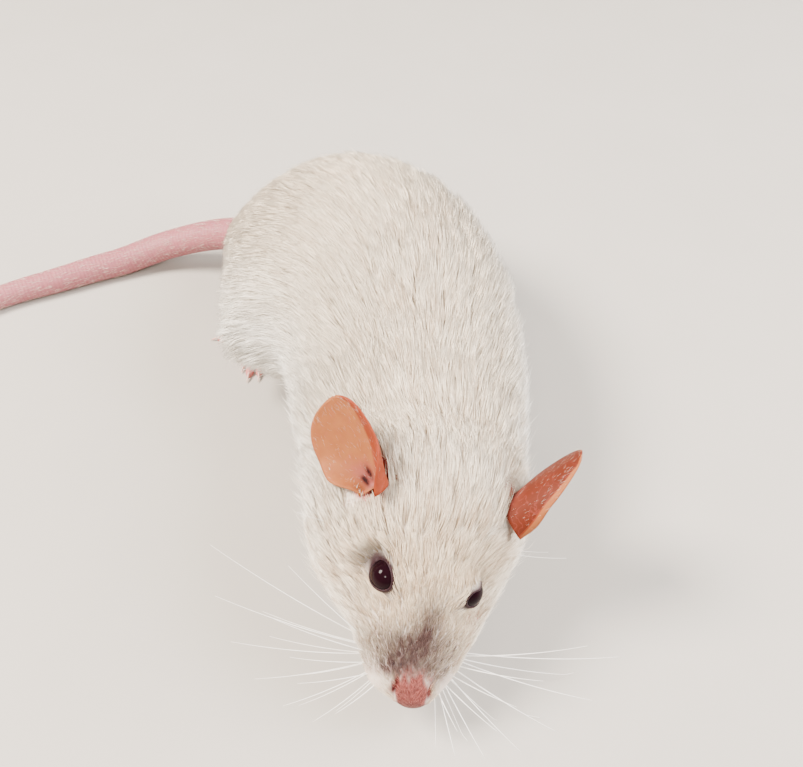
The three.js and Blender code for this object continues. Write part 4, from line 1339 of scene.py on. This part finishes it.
# %% Down on the ears
rng = np.random.default_rng(35)
EAR_FACE_HAIRS = 220
ear_down = []
for k, (name, ear) in enumerate(EARS.items()):
    v = np.linspace(0.02, 0.985, 90)
    sheet = ear_sheet(ear, v)
    normals = ear_normal(sheet)
    for face in (-1, 1):
        i = (rng.random(EAR_FACE_HAIRS) ** 0.8 * (len(v) - 2)).astype(int)
        j = rng.integers(1, sheet.shape[1] - 1, EAR_FACE_HAIRS)
        up_ear = unit(sheet[i + 1, j] - sheet[i, j])
        out = normals[i, j] * face
        edge = np.abs(j / (sheet.shape[1] - 1) * 2 - 1)
        aside = unit(sheet[i, j] - sheet[i, EAR_STEPS]) * edge[:, None]
        root = sheet[i, j] + out * 0.24 + rng.normal(0, 0.05, (EAR_FACE_HAIRS, 3))
        place = np.column_stack([k / 2 + (face + 1) / 8 + 0.24 * j / sheet.shape[1], v[i]])
        ear_down.append((root, out, up_ear + 0.6 * aside, place))
roots, normals, ways, places = map(np.concatenate, zip(*ear_down))
coat.append(straight_hair("coat_ears", 36, roots, normals, ways, 0.6, 0.06, 0.011, places, 0.25))
print("hairs on the ears:", len(roots))

# %% Hair on the tail
rng = np.random.default_rng(37)
TAIL_HAIRS = 3200
s = rng.uniform(1.0, TAIL_LENGTH - 1.2, TAIL_HAIRS)
a = rng.uniform(-0.25 * np.pi, 1.25 * np.pi, TAIL_HAIRS)
root = tail_point(s, a)
out = unit(tail_point(s, a, 1.0) - root)
way = unit(tail_point(s + 0.4, a) - root)
place = np.column_stack([a / TURN % 1, s / TAIL_LENGTH])
coat.append(straight_hair("coat_tail", 38, root, out, way, 1.2, 0.08, 0.022, place, 0.1))
print("hairs on the tail:", TAIL_HAIRS)

# %% [markdown]
# ## Whiskers
# Whiskers are stiff tapered hairs in rows on each side of the muzzle. The longest stand at the rear and
# reach out past the shoulders; those in front are short and point forward. Each is a slender tube along
# a curve that starts along its own direction and sags back and down towards its end.

# %% One whisker
WHISKER_ROOT, WHISKER_TIP = 0.075, 0.018
WHISKER_STEPS, WHISKER_SIDES, WHISKER_CLEAR = 15, 5, 0.4


def strand(start, way, bend, length, thick=WHISKER_ROOT):
    """Rings round start + length * (t * way + t^2 * bend), with a radius that falls to the tip."""
    t = np.linspace(0, 1, WHISKER_STEPS)[:, None]
    path = start + length * (t * way + t ** 2 * bend)
    path[:, 2] = np.maximum(path[:, 2], WHISKER_CLEAR)
    ahead = unit(np.gradient(path, axis=0))
    side = unit(np.cross(ahead, UP))
    over = np.cross(side, ahead)
    a = np.arange(WHISKER_SIDES) / WHISKER_SIDES * TURN
    radius = thick + (WHISKER_TIP - thick) * t
    return path[:, None] + radius[..., None] * (np.cos(a)[None, :, None] * side[:, None]
                                                + np.sin(a)[None, :, None] * over[:, None])


print("rings and sides of one whisker:", strand(NOSE_TIP, LEFT, -0.1 * CROWN, 10.0).shape[:2])


# %% Many tubes in one piece
def join_tubes(ring_sets):
    """Several tubes as one set of vertices and faces."""
    verts, quads, fans, start = [], [], [], 0
    for rings in ring_sets:
        v, f = tube(rings)
        verts.append(v)
        quads.append(f[0] + start)
        fans.append(f[1] + start)
        start += len(v)
    return np.concatenate(verts), [np.concatenate(quads), np.concatenate(fans)]


print("corners of two bars in one piece:", len(join_tubes([np.stack([square, square + UP])] * 2)[0]))

# %% Rows of whiskers
REAR_WHISKER = np.array([5.8, 5.2, -1.1, 20.0])  # back, out and up of the root, and length, in mm
FRONT_WHISKER = np.array([2.1, 3.6, -1.7, 9.0])
WHISKER_FANS = {-1: (-18, 48, -4), 1: (0, 72, 14)}  # degrees forward at the rear and in front, and up
WHISKER_ROWS = ((0, 6), (1, 5), (-1, 5))  # rows above the middle one, and how many stand in each
ROW_GAP, ROW_CLIMB, ROW_TURN = 0.95, 15, 5  # from row to row: mm up, degrees steeper and further back
CHEEK_HAIRS = ((17.5, 8.8, 1.5, 8.0), (18.2, 9.0, 0.4, 6.0))  # back, out, up and length, in mm
rng = np.random.default_rng(41)


def whisker(side, share, row=0, stray=(0, 0, 1)):
    """One whisker: share goes from 0 at the rear to 1 in front, and row counts upward."""
    back, out, up, length = REAR_WHISKER + (FRONT_WHISKER - REAR_WHISKER) * share
    first, last, rise = WHISKER_FANS[side]
    turn = np.radians(first + (last - first) * share + stray[0] - ROW_TURN * row)
    climb = np.radians(rise + ROW_CLIMB * row + stray[1])
    way = head_direction(np.cos(climb) * np.sin(turn), side * np.cos(climb) * np.cos(turn), np.sin(climb))
    sag = -0.10 * FORWARD - 0.14 * CROWN
    start = in_head(back - 0.5 * abs(row), side * (out - 0.35 * max(row, 0)), up + ROW_GAP * row)
    return strand(start, way, sag, length * stray[2] * (1 - 0.16 * abs(row)))


whisker_rings = []
for side in (-1, 1):
    for row, count in WHISKER_ROWS:
        for share in np.linspace(0, 1, count):
            stray = (0, 0, 1) if row == 0 else (rng.normal(0, 4), rng.normal(0, 4), rng.uniform(0.7, 1.0))
            whisker_rings.append(whisker(side, share, row, stray))
    for back, out, up, length in CHEEK_HAIRS:
        way = head_direction(0.1, side * 0.9, 0.45)
        whisker_rings.append(strand(in_head(back, side * out, up), way, -0.12 * FORWARD - 0.15 * CROWN,
                                    length, 0.05))
whiskers = make_object("whiskers", *join_tubes(whisker_rings))
print("whiskers:", len(whisker_rings))

# %% [markdown]
# ## Claws
# Each toe ends in a small horn claw that grows out of its top, bends down and comes to a point just
# clear of the floor. It is a tube along an arc whose rings shrink towards the tip.

# %% Claws
claw_rings = []
for name, foot in FEET.items():
    kind = foot[0]
    size = 1.0 if kind is HIND else 0.75
    for start, point, long in toes_of(foot):
        way = np.array([np.sin(point), -np.cos(point), 0])
        aside = np.array([way[1], -way[0], 0])
        t = np.linspace(0, 1, 9)[:, None]
        path = start + way * (long - 0.35 + 1.65 * size * t) + UP * (0.62 - 0.42 * t ** 1.8)
        ahead = unit(np.gradient(path, axis=0))
        over = np.cross(aside, ahead)
        a = np.arange(8) / 8 * TURN
        radius = (0.24 * size * (1 - t) ** 0.7 + 0.03)[..., None]
        claw_rings.append(path[:, None] + radius * (0.8 * np.cos(a)[None, :, None] * aside
                                                    + np.sin(a)[None, :, None] * over[:, None]))
claws = make_object("claws", *join_tubes(claw_rings))
print("claws:", len(claw_rings))

# %% [markdown]
# ## Materials
# Colours are written as on a paint card, in sRGB hex, and one function turns them to the linear
# numbers a shader adds up. Another adds a node with its settings and links, so each material reads as
# a list of what it is made of: shares of colour laid one over another, each where its measure says.
# A pattern's scale is 1 over the size of its features, in metres.

# %% Colour and node helpers
def paint(card, alpha=1.0):
    """sRGB hex to linear: c / 12.92 below 0.04045, else ((c + 0.055) / 1.055) ^ 2.4."""
    c = np.array([int(card[k:k + 2], 16) for k in (1, 3, 5)]) / 255
    return (*np.where(c <= 0.04045, c / 12.92, ((c + 0.055) / 1.055) ** 2.4), alpha)


def add(material, kind, inputs=(), out=0, **settings):
    """Adds a node and gives its output named out. Settings are its properties, and inputs maps a socket
    to a value or another's output. MapRange reads the span 1 to 2 of socket 0 and gives the span 3 to 4;
    a Mix of colours gives socket 6 where share 0 is none and socket 7 where it is whole, as output 2."""
    new = material.node_tree.nodes.new("ShaderNode" + kind)
    for key, value in settings.items():
        setattr(new, key, value)
    for key, value in dict(inputs).items():
        if isinstance(value, bpy.types.NodeSocket):
            material.node_tree.links.new(value, new.inputs[key])
        else:
            new.inputs[key].default_value = value
    return new.outputs[out]


def new_material(name, **constants):
    """A material with only its main shader, whose constant numbers are set on its own sockets."""
    material = bpy.data.materials.new(name)
    material.use_nodes = True
    shader = material.node_tree.nodes["Principled BSDF"]
    for key, value in constants.items():
        shader.inputs[key.replace("_", " ")].default_value = value
    return material, shader


def wire(material, shader, color=None, normal=None):
    """Links a colour and a bump's normal to the main shader."""
    for socket, key in ((color, "Base Color"), (normal, "Normal")):
        if socket is not None:
            material.node_tree.links.new(socket, shader.inputs[key])


def clouded(name, dark, light, size, detail=2.0, **constants):
    """A material whose colour drifts between two along soft noise, with clouds about size mm across."""
    material, shader = new_material(name, **constants)
    place = add(material, "TexCoord", out="Object")
    cloud = add(material, "TexNoise", {"Vector": place, "Scale": 1 / (size * MM), "Detail": detail})
    wire(material, shader, add(material, "Mix", {0: cloud, 6: paint(dark), 7: paint(light)}, out=2,
                               data_type="RGBA"))
    return material, shader, place


print("white paint in linear numbers:", paint("#FFFFFF"))

# %% White hair
# Hair without pigment is clear keratin full of scattering: bright, a little warm, with a soft gloss.
# Its darker tan towards the root is painted shade down among the hairs, so the gaps between locks read
# darker.
hair, shader = new_material("white_hair", Roughness=0.5, IOR=1.55, Specular_IOR_Level=0.3)
along, cream_and_shade, tone, smudge, pink, lid = (
    add(hair, "Attribute", out="Fac", attribute_name=label)
    for label in ("tip", "cream_and_shade", "tone", "smudge", "pink", "lid"))
to_middle = add(hair, "MapRange", {0: along, 1: 0.0, 2: 0.55})
to_tip = add(hair, "MapRange", {0: along, 1: 0.5, 2: 1.0})
between_locks = add(hair, "MapRange", {0: tone, 1: 0.5, 3: 0.0, 4: 0.8})
rooted = add(hair, "MapRange", {0: along, 1: 0.2, 2: 0.9, 3: 1.0, 4: 0.15})
# Near the eyes the hair darkens to mauve towards its root: the lids' colour running out into painted shade.
dusky_lid_and_shade = add(hair, "Math", {0: lid, 1: rooted}, operation="MULTIPLY")
# Painted shade: the hair is darker and tan at its root, down among the other hairs.
color = paint("#DDD1C2")  # the root
# The warm tint laid over it is partly the coat's own and partly painted shade on the back and face.
for share, card in ((to_middle, "#FAF5EB"), (to_tip, "#FEFBF4"), (cream_and_shade, "#DDC8A8"),
                    (between_locks, "#B59A7C"), (smudge, "#48322E"), (pink, "#A85A52"), (dusky_lid_and_shade, "#341B21")):
    color = add(hair, "Mix", {0: share, 6: color, 7: paint(card)}, out=2, data_type="RGBA")
wire(hair, shader, color)
print("nodes in the material of the hair:", len(hair.node_tree.nodes))

# %% Skin under the coat
# Under white fur the skin is pale pink, seen only through gaps; nose pad and lips are bare and pinker,
# with the pebbled grain of a nose a seventh of a millimetre across. The lids are dusky mauve, and the
# darkening round them, wider at their corner, is painted shade, as is the near black far down in each ear's
# hollow.
SKIN_GRAIN, NOSE_PEBBLES = 0.3125, 1 / 7
skin, shader = new_material("pale_skin", Roughness=0.55, Subsurface_Weight=0.1, Subsurface_Scale=0.0006,
                            Specular_IOR_Level=0.2)
place = add(skin, "TexCoord", out="Object")
smudge, pink, follicle, lid, canal, nostril = (
    add(skin, "Attribute", out="Fac", attribute_name=label)
    for label in ("smudge", "pink", "follicle", "lid", "canal", "nostril"))
grain = add(skin, "TexNoise", {"Vector": place, "Scale": 1 / (SKIN_GRAIN * MM), "Detail": 5.0})
smoke = add(skin, "Math", {0: smudge, 1: 0.9}, operation="MULTIPLY")
grit = add(skin, "MapRange", {0: grain, 1: 0.3, 2: 0.7})
nose_pink = add(skin, "Mix", {0: grit, 6: paint("#582825"), 7: paint("#834942")}, out=2, data_type="RGBA")
near_canal = add(skin, "MapRange", {0: canal, 1: 0.05, 2: 0.45})
# Painted shade: near black far down in each ear's hollow.
canal_shade = add(skin, "MapRange", {0: canal, 1: 0.55, 2: 0.9})
color = paint("#D9C8B9")
# The lid colour is the rim's own mauve, fading out as painted shade round the eye.
for share, over in ((grain, paint("#EADCD0")), (smoke, paint("#604441")), (pink, nose_pink),
                    (follicle, paint("#3E3236")), (lid, paint("#261217")), (near_canal, paint("#A0524A")),
                    (canal_shade, paint("#2E0C0E")), (nostril, paint("#5A1A1E"))):
    color = add(skin, "Mix", {0: share, 6: color, 7: over}, out=2, data_type="RGBA")
pebbles = add(skin, "TexVoronoi", {"Vector": place, "Scale": 1 / (NOSE_PEBBLES * MM)}, out="Distance")
bump = add(skin, "Bump", {"Strength": 0.3, "Distance": 0.0001, "Height": pebbles})
wire(skin, shader, color, normal=bump)
print("nodes in the material of the skin:", len(skin.node_tree.nodes))

# %% Skin of the ears
# An ear is two layers of thin skin with blood between them. It glows tan orange where light comes
# through, and fine veins branch up from the root. Its darker reds are painted shade: along the crease,
# low in the hollow, in the slots of the canal and over all the left ear but its rim.
EAR_MOTTLE, EAR_VEINS = 1 / 0.9, 1 / 0.26
ear_skin, shader = new_material("ear_skin", Roughness=0.6, Subsurface_Weight=0.15, Subsurface_Scale=0.0006,
                                Specular_IOR_Level=0.12)
place = add(ear_skin, "TexCoord", out="Object")
up_ear, over_ear, deep_shade, slot = (
    add(ear_skin, "Attribute", out="Fac", attribute_name=label)
    for label in ("ear_up", "ear_over", "ear_deep_shade", "ear_slot_shade"))
mottle = add(ear_skin, "TexNoise", {"Vector": place, "Scale": 1 / (EAR_MOTTLE * MM), "Detail": 5.0})
color, crease_shade_red, left_ear_shade_red = (
    add(ear_skin, "Mix", {0: mottle, 6: paint(dark), 7: paint(light)}, out=2, data_type="RGBA")
    for dark, light in (("#834928", "#9A5F37"), ("#6F2B16", "#83371E"), ("#4F1B0D", "#612817")))
# Painted shade: the front wall past the crease is darker red.
front = add(ear_skin, "Math", {0: up_ear, 1: -0.7, 2: over_ear}, operation="MULTIPLY_ADD")
crease = add(ear_skin, "MapRange", {0: front, 1: 0.02, 2: 0.14}, interpolation_type="SMOOTHSTEP")
# Painted shade: the left ear is darker red all over but its rim.
shaded_left_ear = add(ear_skin, "MapRange", {0: over_ear, 1: 1.0, 2: LEFT_EAR_SHADE})
veins = add(ear_skin, "TexWave", {"Vector": place, "Scale": 1 / (EAR_VEINS * MM), "Distortion": 14.0,
                                  "Detail": 3.0, "Detail Scale": 2.0}, out="Fac")
vein = add(ear_skin, "MapRange", {0: veins, 1: 0.93, 2: 1.0, 4: 0.22})
# Laid over the tan in turn: painted shade at the crease, over the left ear, low in the hollow and in the
# slots, then the ear's own veins.
for share, over in ((crease, crease_shade_red), (shaded_left_ear, left_ear_shade_red), (deep_shade, paint("#8C4A42")),
                    (slot, paint("#240A0C")), (vein, paint("#9C4A42"))):
    color = add(ear_skin, "Mix", {0: share, 6: color, 7: over}, out=2, data_type="RGBA")
bump = add(ear_skin, "Bump", {"Strength": 0.3, "Distance": 0.00006, "Height": mottle})
wire(ear_skin, shader, color, normal=bump)
print("nodes in the material of the ears:", len(ear_skin.node_tree.nodes))

# %% Skin of the tail
# A tail is wrapped in rings of scales about 0.6 mm wide, pink mauve with darker grooves.
RING_SPACING, TAIL_MOTTLE, SCALE_WIDTH = 0.62, 1 / 1.4, 1 / 2.6
tail_skin, shader = new_material("ringed_tail_skin", Roughness=0.5, Subsurface_Weight=0.12,
                                 Subsurface_Scale=0.001, Specular_IOR_Level=0.25)
place = add(tail_skin, "TexCoord", out="Object")
along = add(tail_skin, "Attribute", out="Fac", attribute_name="tail_mm")
noise = add(tail_skin, "TexNoise", {"Vector": place, "Scale": 1 / (TAIL_MOTTLE * MM), "Detail": 4.0})
wobble = add(tail_skin, "Math", {0: noise, 1: 0.5, 2: along}, operation="MULTIPLY_ADD")
turns = add(tail_skin, "Math", {0: wobble, 1: TURN / RING_SPACING}, operation="MULTIPLY")
ripple = add(tail_skin, "Math", {0: turns}, operation="SINE")
groove = add(tail_skin, "MapRange", {0: ripple, 1: -1.0, 2: 1.0, 4: 0.25})
color = paint("#8E5058")
for share, card in ((noise, "#A86A6E"), (groove, "#7C464C")):
    color = add(tail_skin, "Mix", {0: share, 6: color, 7: paint(card)}, out=2, data_type="RGBA")
scales = add(tail_skin, "TexVoronoi", {"Vector": place, "Scale": 1 / (SCALE_WIDTH * MM)}, out="Distance")
height = add(tail_skin, "Math", {0: ripple, 1: scales}, operation="ADD")
bump = add(tail_skin, "Bump", {"Strength": 0.3, "Distance": 0.00005, "Height": height})
wire(tail_skin, shader, color, normal=bump)
print("nodes in the material of the tail:", len(tail_skin.node_tree.nodes))

# %% Skin of the feet
# Bare pink skin with fine cross creases; it is a little shiny and lets light sink in.
FOOT_MOTTLE, FOOT_CREASES = 1 / 1.2, 0.3125
foot_skin, shader, place = clouded("pink_foot_skin", "#A85A58", "#C8827C", FOOT_MOTTLE, 5.0, Roughness=0.5,
                                   Subsurface_Weight=0.15, Subsurface_Scale=0.0008, Specular_IOR_Level=0.25)
creases = add(foot_skin, "TexVoronoi", {"Vector": place, "Scale": 1 / (FOOT_CREASES * MM)}, out="Distance")
bump = add(foot_skin, "Bump", {"Strength": 0.35, "Distance": 0.00008, "Height": creases})
wire(foot_skin, shader, normal=bump)
print("nodes in the material of the feet:", len(foot_skin.node_tree.nodes))

# %% Eye, claw and whisker
# The eye is a wet black bead with a trace of dark ruby. Claws are clear pale horn, and whiskers the
# same stuff drawn thin.
EYE_CLOUD, HORN_CLOUD, WHISKER_CLOUD = 2.0, 0.4, 1 / 0.3
eye_gloss, _, _ = clouded("wet_dark_eye", "#0B0206", "#1A060C", EYE_CLOUD, Roughness=0.05, IOR=1.34,
                          Specular_IOR_Level=0.12)
horn, _, _ = clouded("pale_horn", "#B98F84", "#D8B5A8", HORN_CLOUD, Roughness=0.3, IOR=1.54,
                     Subsurface_Weight=0.2, Subsurface_Scale=0.0005)
stiff_hair, _, _ = clouded("clear_whisker", "#E9E4DC", "#FBF9F5", WHISKER_CLOUD, Roughness=0.3, IOR=1.55)
print("materials:", sorted(material.name for material in bpy.data.materials))

# %% [markdown]
# ## Tying the pieces to the solids
# The skin replaces every solid but the eyes and whiskers. Each eyeball replaces its own, and the fans
# of whiskers replace theirs. All ride on the one rigid body.

# %% Ride and replace
body.data.materials.clear()
for material in (skin, ear_skin, tail_skin, foot_skin):
    body.data.materials.append(material)
body.data.polygons.foreach_set("material_index", face_part)
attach(body, "root")
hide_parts(*[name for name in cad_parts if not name.startswith(("eye", "whisker"))])
for piece in coat:
    piece.data.materials.append(hair)
    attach(piece, "root")
for name, piece in eyes.items():
    piece.data.materials.append(eye_gloss)
    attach(piece, "root")
    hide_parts(name)
for piece, material, slot in ((claws, horn, "bare_skin"), (whiskers, stiff_hair, "whisker")):
    piece.data.materials.append(material)
    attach(piece, "root")
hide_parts(*[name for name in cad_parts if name.startswith("whisker")])
print("pieces:", len(coat) + len(eyes) + 3)

# %% [markdown]
# ## Floor, light and camera
# The mouse is lit as in a bright room by day: one soft light from above on its right, a broad one on
# its left, a weak one in front, and pale surroundings. The camera looks down at 47 degrees from in front.

# %% Floor
FLOOR_SIZE, FLOOR_CLOUD = 3.0, 1 / 0.06  # half its width in metres, and its clouds in mm
floor_mesh = bpy.data.meshes.new("floor")
floor_mesh.from_pydata([(x * FLOOR_SIZE, y * FLOOR_SIZE, 0) for x, y in ((-1, -1), (1, -1), (1, 1), (-1, 1))],
                       [], [(0, 1, 2, 3)])
floor = bpy.data.objects.new("floor", floor_mesh)
bpy.context.scene.collection.objects.link(floor)
pale, _, _ = clouded("pale_board", "#ABA59C", "#B1ABA3", FLOOR_CLOUD, 3.0, Roughness=0.7)
floor_mesh.materials.append(pale)
print("the floor is", 2 * FLOOR_SIZE, "m wide")

# %% Lights and camera
LIGHTS = [  # name, place in mm from the nose, size in mm, power in watts, colour
    ("key", (-300, 20, 380), 190, 9.6, "#FFF4E8"),
    ("fill", (330, 40, 260), 420, 7.0, "#F9F7F8"),
    ("front", (-60, -330, 400), 100, 1.7, "#FFF8EE"),
]
target = np.array([-4.0, 40.0, 12.0])  # all lights look here
for name, spot, size, power, card in LIGHTS:
    lamp = bpy.data.lights.new(name, "AREA")
    lamp.shape, lamp.size = "DISK", size * MM
    lamp.energy, lamp.color = power, paint(card)[:3]
    obj = bpy.data.objects.new(name, lamp)
    bpy.context.scene.collection.objects.link(obj)
    obj.location = to_row(np.array(spot, float))
    way = unit(target - np.array(spot, float))
    obj.rotation_euler = (np.arccos(-way[2]), 0, np.arctan2(way[1], way[0]) - np.pi / 2)
world = bpy.data.worlds.new("pale_room")
world.use_nodes = True
world.node_tree.nodes["Background"].inputs[0].default_value = paint("#F0EBE4")
world.node_tree.nodes["Background"].inputs[1].default_value = 1.0
bpy.context.scene.world = world

FOCUS, FRAME_WIDTH = 950, 803  # in pixels
SENSOR = 36.0
CAMERA_SPOT, CAMERA_TILT = (-0.718, -46.107, 108.074), 43  # mm from the nose, degrees up from straight down
camera = bpy.data.objects.new("camera", bpy.data.cameras.new("camera"))
camera.data.sensor_width = SENSOR
camera.data.lens = FOCUS * SENSOR / FRAME_WIDTH
camera.data.clip_start = 0.005
camera.location = to_row(np.array(CAMERA_SPOT))
camera.rotation_euler = (np.radians(CAMERA_TILT), 0, 0)
bpy.context.scene.collection.objects.link(camera)
bpy.context.scene.camera = camera
print("camera at", [round(x, 4) for x in camera.location])
